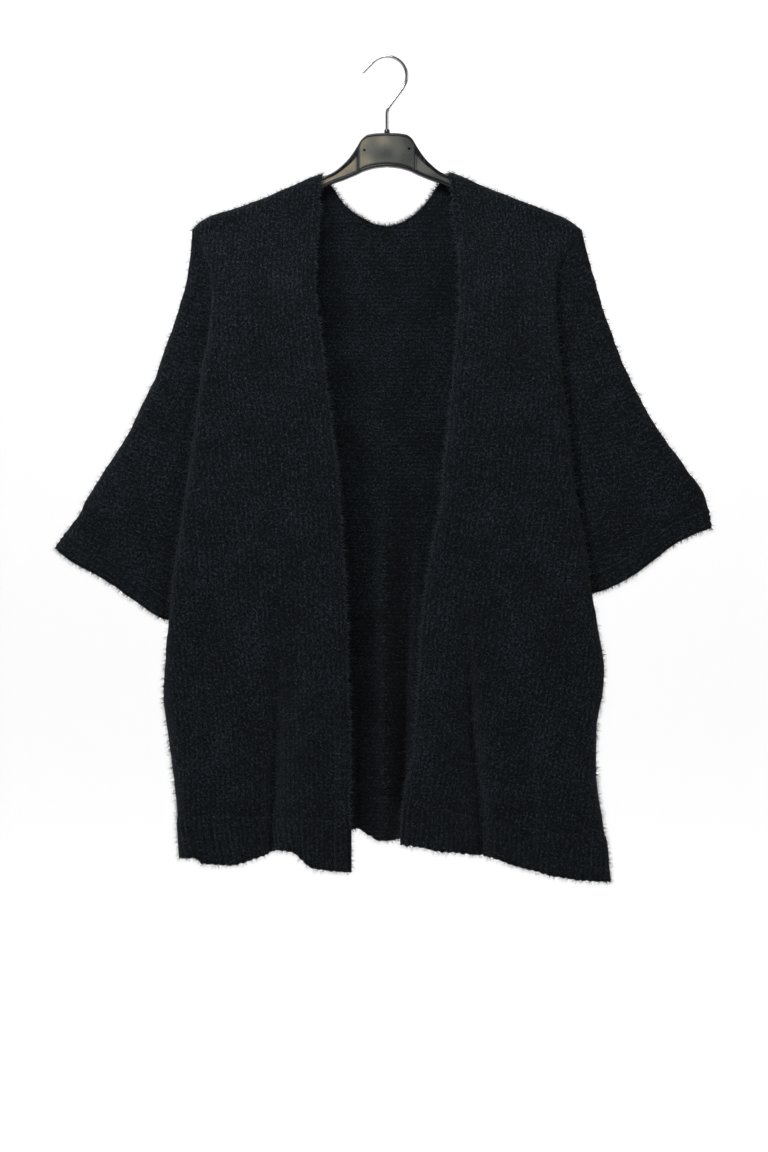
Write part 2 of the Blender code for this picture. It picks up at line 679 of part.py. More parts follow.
def build_cloth():
    """All knitted pieces."""
    knit = make_material("black_brushed_knit", (0.012, 0.014, 0.016), 0.9)
    below = slice(len(SHOULDER_STEPS) + len(ARMHOLE_LEVELS) - 1, None)
    ridge = slice(0, RIDGE_ROWS)
    every = slice(None)
    back = back_panel_points()
    back_normals = outward_normals(back)
    level_normals(back_normals, below, 0)
    level_normals(back_normals, below, -1)
    level_normals(back_normals, -1, every, 2)
    on_shoulder = np.abs(back[0, :, 1]) < SEAM_GAP
    level_normals(back_normals, 0, on_shoulder)
    set_ridge(back[ridge, 0], back_normals[ridge, 0], "right", 1)
    set_ridge(back[ridge, -1], back_normals[ridge, -1], "left", 1)
    cloth_wall("back_panel", back, back_normals, knit)
    for side in SIGN:
        front = front_panel_points(side)
        front_normals = outward_normals(front)
        level_normals(front_normals, 0, every)
        level_normals(front_normals, below, -1)
        level_normals(front_normals, -1, every, 2)
        set_ridge(front[ridge, -1], front_normals[ridge, -1], side, -1)
        cloth_wall("front_" + side, front, front_normals, knit)

        sleeve = both_layers(sleeve_layer(side, -1), sleeve_layer(side, 1))
        underarm_row = len(SLEEVE_SEAM_ROWS)
        sleeve_normals = outward_normals(sleeve, underarm_row)
        half = len(SLEEVE_COLUMNS)
        set_ridge(sleeve[0, :half], sleeve_normals[0, :half], side, -1)
        set_ridge(sleeve[0, half:], sleeve_normals[0, half:], side, 1)
        cuff, cuff_raised = cuff_points(side)
        cuff_normals = outward_normals(cuff, 0)
        sleeve_normals[-1] = cuff_normals[0]
        cloth_wall("sleeve_" + side, sleeve, sleeve_normals, knit, underarm_row)
        cloth_wall("cuff_" + side, cuff, cuff_normals, knit, 0, cuff_raised)
        add_hem("hem_front_" + side, hem_front(side), [-1], knit)
    add_hem("hem_back", hem_back(), [0, -1], knit)


def add_hem(name, points_and_raise, seam_columns, material):
    """A ribbed hem band, with its upper edge level and its side seams upright."""
    points, raised = points_and_raise
    normals = outward_normals(points)
    for column in seam_columns:
        level_normals(normals, slice(None), column)
    level_normals(normals, 0, slice(None), 2)
    cloth_wall(name, points, normals, material, raised=raised)


def tube_mesh(name, rings):
    """A closed solid through rings of equal count, with flat ends."""
    count = len(rings[0])
    faces = []
    for i in range(len(rings) - 1):
        for j in range(count):
            k = (j + 1) % count
            faces.append([i * count + j, i * count + k, (i + 1) * count + k, (i + 1) * count + j])
    faces.append(list(range(count)))
    faces.append([(len(rings) - 1) * count + j for j in range(count)])
    return mesh_from(name, [p for ring in rings for p in ring], faces)


def hanger_stations():
    """Both halves of the hanger, from one tip to the other."""
    stations = list(HANGER_MIDDLE)
    for out, height, half in HANGER_ARM:
        top = min(shoulder_height(out), shoulder_height(-out)) - HANGER_DROP
        stations.append((out, top, top - height, half, min(half, height / 2) * 0.96))
    return [(-out, *rest) for out, *rest in reversed(stations[1:])] + stations


def hanger_section(x, top, bottom, half, corner):
    """A rounded upright section of the hanger."""
    middle = (top + bottom) / 2
    tall = (top - bottom) / 2
    ring = []
    for quarter in range(4):
        across = 1 if quarter in (0, 3) else -1
        up = 1 if quarter in (0, 1) else -1
        for step in range(3):
            turn = math.radians(90 * quarter + 45 * step)
            ring.append((x, across * (half - corner) + corner * math.cos(turn),
                         middle + up * (tall - corner) + corner * math.sin(turn)))
    return ring


def build_hanger():
    plastic = make_material("black_plastic", (0.02, 0.02, 0.022), 0.3)
    chrome = make_material("chrome", (0.8, 0.8, 0.82), 0.15, 1.0)
    body = tube_mesh("hanger_body", [hanger_section(*station) for station in hanger_stations()])
    add_object("hanger_body", body, plastic, 35)

    hole = WIRE_RADIUS + SEAM_GAP
    profile = [(hole, COLLAR_FOOT[1]), COLLAR_FOOT, COLLAR_TOP, (hole, COLLAR_TOP[1])]
    count = 2 * SEGMENTS_ROUND
    points = [(r * math.cos(2 * math.pi * j / count), r * math.sin(2 * math.pi * j / count), z)
              for j in range(count) for r, z in profile]
    faces = []
    for j in range(count):
        k = (j + 1) % count
        for a in range(4):
            b = (a + 1) % 4
            faces.append([j * 4 + a, j * 4 + b, k * 4 + b, k * 4 + a])
    add_object("hanger_collar", mesh_from("hanger_collar", points, faces), plastic, 35)
    add_object("hanger_hook", tube_mesh("hanger_hook", hook_rings()), chrome, 50)


def hook_path():
    """Centre line of the wire: stem, slant, arc over the top and the straight tip."""
    centre_z = WIRE_RADIUS - HOOK_RADIUS
    path = [(0.0, COLLAR_FOOT[1]), (0.0, -70.0), (0.0, -62.0), (0.8, -58.5), (3.2, -54.5)]
    path += [(10.0, -45.2), (16.5, -36.8), (19.8, -31.6)]
    arc = [math.radians(a) for a in range(-18, 136, 11)]
    path += [(HOOK_RADIUS * math.cos(a), centre_z + HOOK_RADIUS * math.sin(a)) for a in arc]
    last_x, last_z = path[-1]
    path += [(last_x - step, last_z - step) for step in (4.0, 9.0, 13.5)]
    return np.array(path)


def hook_rings():
    path = hook_path()
    rings = []
    for i, (x, z) in enumerate(path):
        ahead = path[min(i + 1, len(path) - 1)] - path[max(i - 1, 0)]
        ahead /= np.hypot(*ahead)
        ring = []
        for j in range(SEGMENTS_ROUND):
            turn = 2 * math.pi * j / SEGMENTS_ROUND
            side_way = WIRE_RADIUS * math.cos(turn)
            ring.append((x + ahead[1] * side_way, WIRE_RADIUS * math.sin(turn), z - ahead[0] * side_way))
        rings.append(ring)
    return rings


for old in list(bpy.data.objects):
    bpy.data.objects.remove(old, do_unlink=True)
build_cloth()
build_hanger()
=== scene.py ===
import math

import bmesh
import bpy
import numpy as np
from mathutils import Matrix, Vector


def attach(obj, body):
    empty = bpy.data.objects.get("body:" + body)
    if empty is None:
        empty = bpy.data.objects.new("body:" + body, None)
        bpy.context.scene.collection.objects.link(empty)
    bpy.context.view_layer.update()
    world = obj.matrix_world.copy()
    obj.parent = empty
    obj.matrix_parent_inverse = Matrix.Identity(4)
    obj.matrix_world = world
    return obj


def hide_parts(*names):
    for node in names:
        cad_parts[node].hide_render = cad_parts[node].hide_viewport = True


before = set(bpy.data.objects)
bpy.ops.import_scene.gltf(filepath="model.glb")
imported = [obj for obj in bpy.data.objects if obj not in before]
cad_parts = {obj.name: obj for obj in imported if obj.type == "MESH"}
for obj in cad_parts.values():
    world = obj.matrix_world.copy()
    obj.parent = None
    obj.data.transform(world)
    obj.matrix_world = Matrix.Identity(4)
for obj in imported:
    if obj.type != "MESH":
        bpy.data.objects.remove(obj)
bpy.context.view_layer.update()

# ---------------------------------------------------------------- hanger body
# One moulding in glossy black plastic, with a raised rim all round and two shallow
# wings beside the middle field. Its arms run on inside the shoulders of the garment.

MM = 0.001
# Distance from the centre line, top, bottom and half thickness, in millimetres.
HANGER_MIDDLE = [
    (0.0, -86.0, -124.0, 6.5), (12.0, -86.4, -125.2, 6.5), (22.0, -88.0, -127.6, 6.5),
    (28.0, -92.0, -129.8, 6.3), (34.0, -101.5, -132.8, 6.1), (42.0, -113.2, -136.2, 5.8),
    (50.0, -121.6, -139.5, 5.5), (60.0, -129.6, -142.9, 5.2), (70.0, -134.6, -147.2, 5.0),
    (105.0, -148.7, -161.2, 5.0), (145.0, -165.7, -178.0, 5.0), (174.0, -176.2, -187.6, 5.0),
    (193.0, -182.4, -192.8, 4.6), (202.0, -186.4, -194.6, 3.8), (206.0, -189.0, -194.0, 2.4),
]
CORNER_RADIUS = 2.0
RIM_WIDTH = 2.4
RIM_SLOPE = 0.8            # width of the slope from a rim down to its field
LOWER_RIM = 4.0            # height of the dark band along the lower edge, kept clear of the painted reflection
FIELD_DEPTH = 1.1          # how far the middle field lies below the rim
WING_DEPTH = 2.0
WING_STARTS = (-33.0, 31.6)
WING_RIM = (9.0, 7.0)      # extra width of the rim above a wing, and how fast it runs out
STEP_RUN = 1.4             # width of the slope from the field down to a wing
GROOVE = (2.4, 0.9, 0.7)   # beside each step: distance from it, half width and depth
PLAIN_FROM = 88.0          # the arms are plain from here on, under the cloth
PLAIN_RUN = 8.0            # and the fields run out over this
PIN_HOLES = ((-25.7, -105.5), (25.0, -104.0))
PIN_HOLE_RADIUS = 1.5
PIN_HOLE_RUN = (-12.0, -1.0)   # from in front of the moulding to short of its middle
# The reflection painted into the sunk fields comes up at a start over a run: by its depth
# below the skin, below the upper rim, which is wider above a wing, and above the lower
# one. It is faint along the steps and weaker towards the right.
PAINTED_REFLECTION_DEPTH = (0.35, 0.5)
PAINTED_REFLECTION_WING_RIM = (2.6, 8.0, 14.0)
PAINTED_REFLECTION_TOP_RUN = 1.4
PAINTED_REFLECTION_LOW_RUN = 0.9
PAINTED_REFLECTION_AT_STEP = (0.85, 1.8)
PAINTED_REFLECTION_FADE = (0.3, 2.0, 26.0)


def curve_between(a, slope_a, b, slope_b, width, t):
    """A smooth curve from a to b over a width, with a given slope at both ends."""
    return (a * (1 + 2 * t) * (1 - t) ** 2 + slope_a * width * t * (1 - t) ** 2
            + b * t * t * (3 - 2 * t) + slope_b * width * t * t * (t - 1))


def smooth_through(rows, column, x):
    """Value of one column of a table at x, on a curve that never overshoots its rows."""
    table = np.array(rows, float)
    table = table[np.argsort(table[:, 0])]
    xs, ys = table[:, 0], table[:, column]
    steps = np.diff(ys) / np.diff(xs)
    slope = np.zeros(len(xs))
    same = steps[:-1] * steps[1:] > 0
    slope[1:-1][same] = 2 * steps[:-1][same] * steps[1:][same] / (steps[:-1] + steps[1:])[same]
    slope[0], slope[-1] = steps[0], steps[-1]
    x = np.clip(x, xs[0], xs[-1])
    i = np.clip(np.searchsorted(xs, x, side="right") - 1, 0, len(xs) - 2)
    width = xs[i + 1] - xs[i]
    return curve_between(ys[i], slope[i], ys[i + 1], slope[i + 1], width, (x - xs[i]) / width)


def ease(t):
    t = np.clip(t, 0.0, 1.0)
    return t * t * (3 - 2 * t)


def mix(a, b, t):
    return a + (b - a) * t


def in_scene(name, data):
    """A new object, linked to the scene."""
    made = bpy.data.objects.new(name, data)
    bpy.context.scene.collection.objects.link(made)
    return made


def finished(name, mesh, material, nodes=()):
    """A finished piece, which rides on the hanger and takes a slot's finish."""
    mesh.materials.clear()
    mesh.materials.append(material)
    mesh.shade_smooth()
    made = in_scene(name, mesh)
    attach(made, "root")
    if nodes:
        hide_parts(*nodes)
    return made


def mesh_of(name, points, faces):
    """A mesh in metres from points in millimetres, with its faces turned outwards."""
    mesh = bpy.data.meshes.new(name)
    mesh.from_pydata((np.asarray(points) * MM).tolist(), [], faces)
    work = bmesh.new()
    work.from_mesh(mesh)
    bmesh.ops.recalc_face_normals(work, faces=work.faces)
    work.to_mesh(mesh)
    work.free()
    return mesh


def shader_of(material):
    return material.node_tree.nodes["Principled BSDF"]


def new_material(name, **sockets):
    """A material whose shader has the given sockets set, and its node tree."""
    material = bpy.data.materials.new(name)
    material.use_nodes = True
    for socket, value in sockets.items():
        shader_of(material).inputs[socket.replace("_", " ")].default_value = value
    return material, material.node_tree


def add_node(tree, kind, inputs=(), **settings):
    """A node with its settings and inputs; an input may be a value or another node's output."""
    node = tree.nodes.new(kind)
    for setting, value in settings.items():
        setattr(node, setting, value)
    for socket, value in dict(inputs).items():
        if isinstance(value, bpy.types.NodeSocket):
            tree.links.new(value, node.inputs[socket])
        else:
            node.inputs[socket].default_value = value
    return node


def noise_node(tree, place, scale, **sockets):
    sizes = {socket.replace("_", " "): value for socket, value in sockets.items()}
    inputs = {"Vector": place, "Scale": scale, **sizes}
    return add_node(tree, "ShaderNodeTexNoise", inputs).outputs["Fac"]


def math_node(tree, operation, *values):
    """Arithmetic on up to three values or outputs."""
    made = add_node(tree, "ShaderNodeMath", dict(enumerate(values)), operation=operation)
    return made.outputs["Value"]


def ramp_node(tree, factor, stops):
    """A colour ramp over the given (place, colour) stops."""
    node = add_node(tree, "ShaderNodeValToRGB", {"Fac": factor})
    for index, (place, colour) in enumerate(stops):
        stop = node.color_ramp.elements[index] if index < 2 else node.color_ramp.elements.new(place)
        stop.position = place
        stop.color = (*colour, 1.0)
    return node.outputs["Color"]


def past_step(x):
    """How far a place lies out beyond the step to its wing."""
    return np.maximum(WING_STARTS[0] - x, x - WING_STARTS[1])


def hanger_half(x, from_edge, in_upper_half):
    """Half thickness of the moulding at a distance from its nearest edge."""
    half = smooth_through(HANGER_MIDDLE, 3, np.abs(x))
    corner = np.minimum(CORNER_RADIUS, half * 0.8)
    t = np.clip(from_edge / corner, 0.0, 1.0)
    half = half - corner + corner * np.sqrt(1 - (1 - t) ** 2)
    past = past_step(x)
    wing = ease(past / STEP_RUN)
    wing_rim = RIM_WIDTH + WING_RIM[0] * np.exp(-np.maximum(past, 0) / WING_RIM[1])
    rim = mix(RIM_WIDTH, wing_rim, wing * in_upper_half)
    shown = ease((PLAIN_FROM - np.abs(x)) / PLAIN_RUN)
    inside = ease((from_edge - rim) / RIM_SLOPE) * shown
    groove_from_step, groove_width, groove_depth = GROOVE
    groove = groove_depth * np.exp(-((past + groove_from_step) / groove_width) ** 2)
    return half - inside * (mix(FIELD_DEPTH, WING_DEPTH, wing) + groove)


def hanger_rings():
    """Sections across the moulding, closest together where it shows, finest at its rims."""
    xs = np.concatenate([
        np.linspace(-206, -92, 20), np.linspace(-90, 90, 241), np.linspace(92, 206, 20)])
    rim_steps = np.array([0.0, 0.25, 0.8, 1.6, 2.3, 2.7, 3.1, 3.6])
    rings = []
    for x in xs:
        top = smooth_through(HANGER_MIDDLE, 1, abs(x))
        tall = top - smooth_through(HANGER_MIDDLE, 2, abs(x))
        edges = rim_steps * min(1.0, tall / 12.0)
        between = np.linspace(edges[-1], tall - edges[-1], 14)[1:-1]
        down = np.concatenate([edges, between, (tall - edges)[::-1]])
        y = hanger_half(x, np.minimum(down, tall - down), down < tall / 2)
        front = [(x, -v, top - d) for v, d in zip(y, down)]
        back = [(x, v, top - d) for v, d in zip(y, down)][::-1]
        rings.append(front + back)
    return rings


def tube_faces(ring_count, ring_size):
    """Quads round a run of rings, with both ends closed."""
    faces = []
    for i in range(ring_count - 1):
        near, far = i * ring_size, (i + 1) * ring_size
        for j in range(ring_size):
            k = (j + 1) % ring_size
            faces.append((near + j, near + k, far + k, far + j))
    faces.append(tuple(range(ring_size)))
    faces.append(tuple(range((ring_count - 1) * ring_size, ring_count * ring_size)))
    return faces


def evaluated_mesh(shape):
    """A plain mesh of an object as its modifiers make it."""
    return bpy.data.meshes.new_from_object(
        shape.evaluated_get(bpy.context.evaluated_depsgraph_get()))


def painted_reflection_mask(mesh):
    """Where the painted reflection shows: 1 inside the sunk fields, 0 on rims, corners and steps."""
    spot = np.zeros(len(mesh.vertices) * 3)
    mesh.vertices.foreach_get("co", spot)
    x, y, z = spot.reshape(-1, 3).T / MM
    from_top = smooth_through(HANGER_MIDDLE, 1, np.abs(x)) - z
    from_bottom = z - smooth_through(HANGER_MIDDLE, 2, np.abs(x))
    sunk = smooth_through(HANGER_MIDDLE, 3, np.abs(x)) - np.abs(y)
    past = past_step(x)
    least, more, run_out = PAINTED_REFLECTION_WING_RIM
    wing_rim = least + more * np.exp(-np.maximum(past, 0) / run_out)
    top_rim = mix(RIM_WIDTH, wing_rim, ease(past))
    start, run = PAINTED_REFLECTION_DEPTH
    shade = ease((sunk - start) / run)
    shade *= ease((from_top - top_rim) / PAINTED_REFLECTION_TOP_RUN)
    shade *= ease((from_bottom - LOWER_RIM) / PAINTED_REFLECTION_LOW_RUN)
    share, width = PAINTED_REFLECTION_AT_STEP
    shade *= 1 - share * np.exp(-(past / width) ** 2)
    share, start, run = PAINTED_REFLECTION_FADE
    return shade * (1 - share * ease((x - start) / run))


def bore_holes(mesh, places, radius, run):
    """The same mesh with round blind holes, bored from the first y of the run to the second."""
    body = in_scene("moulding", mesh)
    bits = []
    for x, z in places:
        points = [(x + radius * math.cos(a), y, z + radius * math.sin(a))
                  for y in run for a in np.linspace(0, 2 * math.pi, 17)[:-1]]
        bit = in_scene("bit", mesh_of("bit", points, tube_faces(2, 16)))
        cut = body.modifiers.new("hole", "BOOLEAN")
        cut.object = bit
        cut.solver = "EXACT"
        bits.append(bit)
    bored = evaluated_mesh(body)
    for used in bits + [body]:
        bpy.data.objects.remove(used, do_unlink=True)
    return bored


def plastic_material():
    """Black plastic with a blotchy painted reflection in its sunk fields, and fine handling marks."""
    material, tree = new_material("black_hanger_plastic", Roughness=0.26, Specular_IOR_Level=0.25)
    shader = shader_of(material)
    place = add_node(tree, "ShaderNodeTexCoord").outputs["Object"]
    painted_reflection_blotches = noise_node(tree, place, 22.0, Detail=2.0)
    painted_reflection_share = add_node(tree, "ShaderNodeAttribute", attribute_name="painted_reflection_share").outputs["Fac"]
    # The ramp paints the reflection: the plastic's own near black where the mask is 0, up to a pale beige
    # deep in the sunk fields.
    colour = ramp_node(tree, math_node(tree, "MULTIPLY", painted_reflection_share, painted_reflection_blotches), [
        (0.0, (0.003, 0.003, 0.0035)), (0.28, (0.026, 0.028, 0.026)),
        (0.44, (0.058, 0.058, 0.050)), (0.6, (0.13, 0.108, 0.072))])
    tree.links.new(colour, shader.inputs["Base Color"])
    marks = noise_node(tree, place, 900.0, Detail=2.0)
    rough = add_node(tree, "ShaderNodeMapRange", {"Value": marks, "To Min": 0.2, "To Max": 0.36})
    tree.links.new(rough.outputs["Result"], shader.inputs["Roughness"])
    bump = add_node(tree, "ShaderNodeBump", {"Height": marks, "Strength": 0.06, "Distance": 0.0003})
    tree.links.new(bump.outputs["Normal"], shader.inputs["Normal"])
    return material


rings = hanger_rings()
hanger_mesh = mesh_of(
    "hanger", [point for ring in rings for point in ring], tube_faces(len(rings), len(rings[0])))
hanger_mesh = bore_holes(hanger_mesh, PIN_HOLES, PIN_HOLE_RADIUS, PIN_HOLE_RUN)
# How strongly the reflection is painted into the plastic's colour at each point.
shade = painted_reflection_mask(hanger_mesh)
hanger_mesh.attributes.new("painted_reflection_share", "FLOAT", "POINT").data.foreach_set("value", shade)
hanger_plastic = plastic_material()
finished("hanger_moulding", hanger_mesh, hanger_plastic, ["hanger_body"])
hanger_mesh.set_sharp_from_angle(angle=math.radians(50))

# ---------------------------------------------------------------- socket and hook
# The socket is a small tapered collar of the same plastic. The hook is bright chromed
# wire, bent to a question mark, and its foot stands in the socket.

SOCKET = [(1.9, -86.2), (3.2, -86.2), (3.1, -84.6), (2.9, -82.0), (2.6, -81.4), (1.9, -81.4)]
WIRE_RADIUS = 1.7
WIRE_SIDES = 16
WIRE_TIP = 0.72            # the cut end is rounded down to this share of the radius
HOOK_RADIUS = 22.5
# Centre line of the stem and the slant above it, as x and height. The arc then turns from
# the first angle to the second in degrees, and the straight tip runs on down beside it.
HOOK_STEM = [
    (0.0, -85.9), (0.0, -70.0), (0.0, -62.5), (0.6, -59.5), (2.2, -56.3), (5.5, -51.4),
    (10.0, -45.2), (14.6, -39.3), (18.0, -34.5), (20.2, -30.6),
]
HOOK_ARC = (-18, 136, 7)
HOOK_TIP = (4.0, 9.0, 12.6, 13.3)


def turned(name, profile, count):
    """A ring turned from a closed profile of (radius, height)."""
    points = [(r * math.cos(a), r * math.sin(a), z)
              for a in np.linspace(0, 2 * math.pi, count + 1)[:-1] for r, z in profile]
    size = len(profile)
    faces = [(j * size + a, j * size + (a + 1) % size, (j + 1) % count * size + (a + 1) % size,
              (j + 1) % count * size + a) for j in range(count) for a in range(size)]
    return mesh_of(name, points, faces)


def hook_line():
    """Centre line of the wire: stem, slant, arc over the top and the straight tip."""
    centre = WIRE_RADIUS - HOOK_RADIUS
    arc = [(HOOK_RADIUS * math.cos(a), centre + HOOK_RADIUS * math.sin(a))
           for a in np.radians(np.arange(*HOOK_ARC))]
    end_x, end_z = arc[-1]
    return np.array(HOOK_STEM + arc + [(end_x - d, end_z - d) for d in HOOK_TIP])


def path_mesh(name, line, radii):
    """A chain of points in the hanger's plane, each with the share of the wire's radius."""
    mesh = bpy.data.meshes.new(name)
    points = [(x * MM, 0.0, z * MM) for x, z in line]
    mesh.from_pydata(points, [(i, i + 1) for i in range(len(points) - 1)], [])
    mesh.attributes.new("radius", "FLOAT", "POINT").data.foreach_set("value", radii)
    return mesh


def new_tree(name, source, inputs, result):
    """A node tree that takes a mesh and named sizes and gives one mesh back."""
    tree = bpy.data.node_groups.new(name, "GeometryNodeTree")
    face = tree.interface
    face.new_socket(source, in_out="INPUT", socket_type="NodeSocketGeometry")
    for label, (kind, value) in inputs.items():
        face.new_socket(label, in_out="INPUT", socket_type="NodeSocket" + kind).default_value = value
    face.new_socket(result, in_out="OUTPUT", socket_type="NodeSocketGeometry")
    return tree, tree.nodes.new("NodeGroupInput").outputs


def finish_tree(tree, made, material):
    real = add_node(tree, "GeometryNodeRealizeInstances", {"Geometry": made})
    dressed = add_node(tree, "GeometryNodeSetMaterial", {
        "Geometry": real.outputs[0], "Material": material})
    add_node(tree, "NodeGroupOutput", {0: dressed.outputs[0]})


def made_by(tree, mesh, **sizes):
    """The plain mesh that a tree makes from another mesh, with the sizes given by name."""
    holder = in_scene("holder", mesh)
    maker = holder.modifiers.new("maker", "NODES")
    maker.node_group = tree
    for item in tree.interface.items_tree:
        if item.name in sizes:
            maker[item.identifier] = sizes[item.name]
    made = evaluated_mesh(holder)
    holder.modifiers.remove(maker)
    bpy.data.objects.remove(holder, do_unlink=True)
    return made


def wire_tree(material):
    """Sweeps a round wire with closed ends along a path."""
    tree, given = new_tree("bent_wire", "Path", {
        "Radius": ("Float", WIRE_RADIUS * MM), "Sides": ("Int", WIRE_SIDES)}, "Wire")
    curve = add_node(tree, "GeometryNodeMeshToCurve", {"Mesh": given["Path"]})
    circle = add_node(tree, "GeometryNodeCurvePrimitiveCircle", {
        "Resolution": given["Sides"], "Radius": given["Radius"]}, mode="RADIUS")
    swept = add_node(tree, "GeometryNodeCurveToMesh", {
        "Curve": curve.outputs[0], "Profile Curve": circle.outputs[0], "Fill Caps": True})
    finish_tree(tree, swept.outputs[0], material)
    return tree


socket_mesh = turned("socket", SOCKET, 32)
finished("hook_socket", socket_mesh, hanger_plastic, ["hanger_collar"])
socket_mesh.set_sharp_from_angle(angle=math.radians(35))
chrome, chrome_tree = new_material(
    "chromed_wire", Base_Color=(0.28, 0.28, 0.27, 1.0), Metallic=1.0, Roughness=0.14)
wire_place = add_node(chrome_tree, "ShaderNodeTexCoord").outputs["Object"]
wire_marks = noise_node(chrome_tree, wire_place, 420.0, Detail=2.0)
wire_rough = add_node(chrome_tree, "ShaderNodeMapRange", {
    "Value": wire_marks, "To Min": 0.08, "To Max": 0.24})
chrome_tree.links.new(wire_rough.outputs["Result"], shader_of(chrome).inputs["Roughness"])
line = hook_line()
radii = np.append(np.ones(len(line) - 1), WIRE_TIP)
hook_mesh = made_by(wire_tree(chrome), path_mesh("hook_path", line, radii))
finished("wire_hook", hook_mesh, chrome, ["hanger_hook"])
hook_mesh.set_sharp_from_angle(angle=math.radians(50))

# ---------------------------------------------------------------- body of the cardigan
# Two fronts and a back in a soft brushed knit, very dark, worked in upright columns
# with the reverse side inside. They hang from the hanger's arms and turn back at the
# sides over the sleeves in one long soft fold.

WALL = 2.6                 # thickness of the knit between its columns
SEAM_LAP = 0.7             # how far a piece runs on into the next at a seam
SHOULDER_RADIUS = 10.0     # round of the cloth over the shoulders
FRONT_DEPTH = 27.0         # how far the fronts hang before the plane of the hanger
BACK_DEPTH = 25.0
DEPTH_RAMP = 160.0         # both depths are reached over this drop
ARMHOLE_DEPTH = 8.0
UNDERARM = -505.0
UNDERARM_ROUND = 24.0
EDGE_CURL = 4.5            # the front edges roll forwards
EDGE_CURL_WIDTH = 12.0
SHOULDER_TIP = 221.0
SIDE_WIDTH = 240.0
RIDGE_END = -222.0         # the armhole seam lies on a ridge down to here
RIDGE_OUT = (0.75, 0.2)    # how much its wall faces outwards, at the tip and further down
COLUMN_PITCH = 5.6         # one column of knit
ROW_PITCH = 4.7            # one ridge of the reverse side
COLUMN_RAISE = 0.16
RELIEF_FADE = 18.0         # the unevenness of a panel calms down over this, above its hem
TURN_RADII = (4.0, 60.0)   # least and greatest round of the turn at the sides
FRONT_FACE = (1.6, 3.6)    # width and height of one face of a front's mesh
BACK_FACE = (1.75, 9.0)
FRONT_WIDTH = 165          # flat width that the faces across a front are counted over
BACK_WIDTH = 220
# Columns wander sideways, in two sizes: by how much and over what length.
COLUMN_WANDER = ((1.6, 38.0), (0.9, 12.0))
# Unevenness of a panel: height, size of its lumps and step from the seed.
BODY_LUMPS = ((0.9, 46.0, 5), (0.45, 17.0, 6), (0.3, 7.0, 7))
KNIT_SEEDS = {"back": 11, "right": 31, "left": 51}
FRAY_SEED = 35
INSIDE_SEED = 91
# Loose fibres for each square metre, as shares of the brushed knit's usual number.
PILE_FLAT = 0.7
PILE_TURNED = 3.2          # added where the cloth turns out of the flat
PILE_SEAM = 4.0
PILE_FREE_EDGE = 14.0
PILE_LOWER_EDGE = 16.0
PILE_NECKLINE = 60.0
PILE_REVERSE = 0.35        # on the inside of the back, which shows at the open front

# Body rows: height, distance of the front edge and of the side from the centre line,
# how many degrees the cloth turns at the side, and how far in its seam then lies.
BODY_ROWS = {
    "right": [
        (-131, 74.0, 221.0, 12, 3.0), (-195, 78.5, 221.0, 12, 3.0), (-220, 80.0, 210.0, 35, 3.0),
        (-245, 80.5, 200.0, 75, 3.0), (-275, 79.5, 199.0, 125, 6.0), (-310, 75.0, 201.5, 165, 10.0),
        (-350, 71.0, 208.5, 180, 13.5), (-400, 65.0, 214.5, 180, 16.0), (-460, 57.5, 223.0, 180, 18.0),
        (-505, 53.5, 229.5, 180, 22.0), (-537, 51.0, 234.2, 180, 29.0), (-575, 48.2, 240.0, 180, 29.0),
        (-640, 45.5, 247.0, 180, 19.0), (-690, 43.2, 252.0, 90, 0.0), (-720, 42.6, 253.6, 90, 0.0),
        (-765, 42.0, 249.0, 90, 0.0), (-815, 41.6, 242.0, 90, 0.0), (-860, 41.3, 237.3, 90, 0.0),
        (-905, 41.0, 233.5, 90, 0.0), (-936, 41.0, 229.0, 90, 0.0),
    ],
    "left": [
        (-131, 70.0, 221.0, 12, 3.0), (-195, 77.5, 221.0, 12, 3.0), (-220, 80.5, 208.0, 35, 3.0),
        (-245, 82.0, 195.0, 75, 3.0), (-275, 81.5, 191.5, 125, 6.0), (-310, 79.0, 193.0, 165, 10.0),
        (-350, 76.5, 198.0, 180, 13.5), (-400, 71.5, 203.5, 180, 16.0), (-460, 64.0, 210.0, 180, 18.0),
        (-505, 60.5, 216.5, 180, 22.0), (-537, 55.0, 222.0, 180, 29.0), (-565, 49.5, 226.2, 180, 29.0),
        (-610, 42.3, 232.5, 180, 19.0), (-660, 38.2, 241.0, 90, 0.0), (-692, 36.5, 245.0, 90, 0.0),
        (-720, 34.5, 243.5, 90, 0.0), (-760, 32.5, 237.0, 90, 0.0), (-790, 29.5, 236.2, 90, 0.0),
        (-830, 20.5, 239.0, 90, 0.0), (-870, 17.0, 244.5, 90, 0.0), (-910, 15.3, 249.5, 90, 0.0),
        (-936, 15.0, 252.4, 90, 0.0),
    ],
}
SIGN = {"right": -1.0, "left": 1.0}
# The line of the shoulders and the back neckline, as x and height.
SHOULDER_LINE = [
    (-221, -195), (-212, -186), (-197, -178.5), (-174, -172), (-145, -161.5),
    (-105, -144.5), (-75, -131.8), (0, -122), (72, -130.8), (105, -143.5),
    (145, -160.5), (174, -171.5), (197, -179.5), (212, -187.5), (221, -195),
]
BACK_NECK = [
    (-75, -131.8), (-70, -137.5), (-60.5, -148), (-52, -161), (-40.5, -172.5),
    (-27, -181), (-13, -187.3), (2, -189.4), (13, -186.8), (28, -179),
    (36.5, -172), (44, -165), (51, -155), (58, -144.5), (66, -134.5), (72, -130.8),
]
# Heights where the ribs begin, at the centre and at the sides.
RIB_TOP = {"right": (-866.5, -860.0), "left": (-838.0, -880.0)}
BACK_RIB_TOP_MIDDLE = -838.0
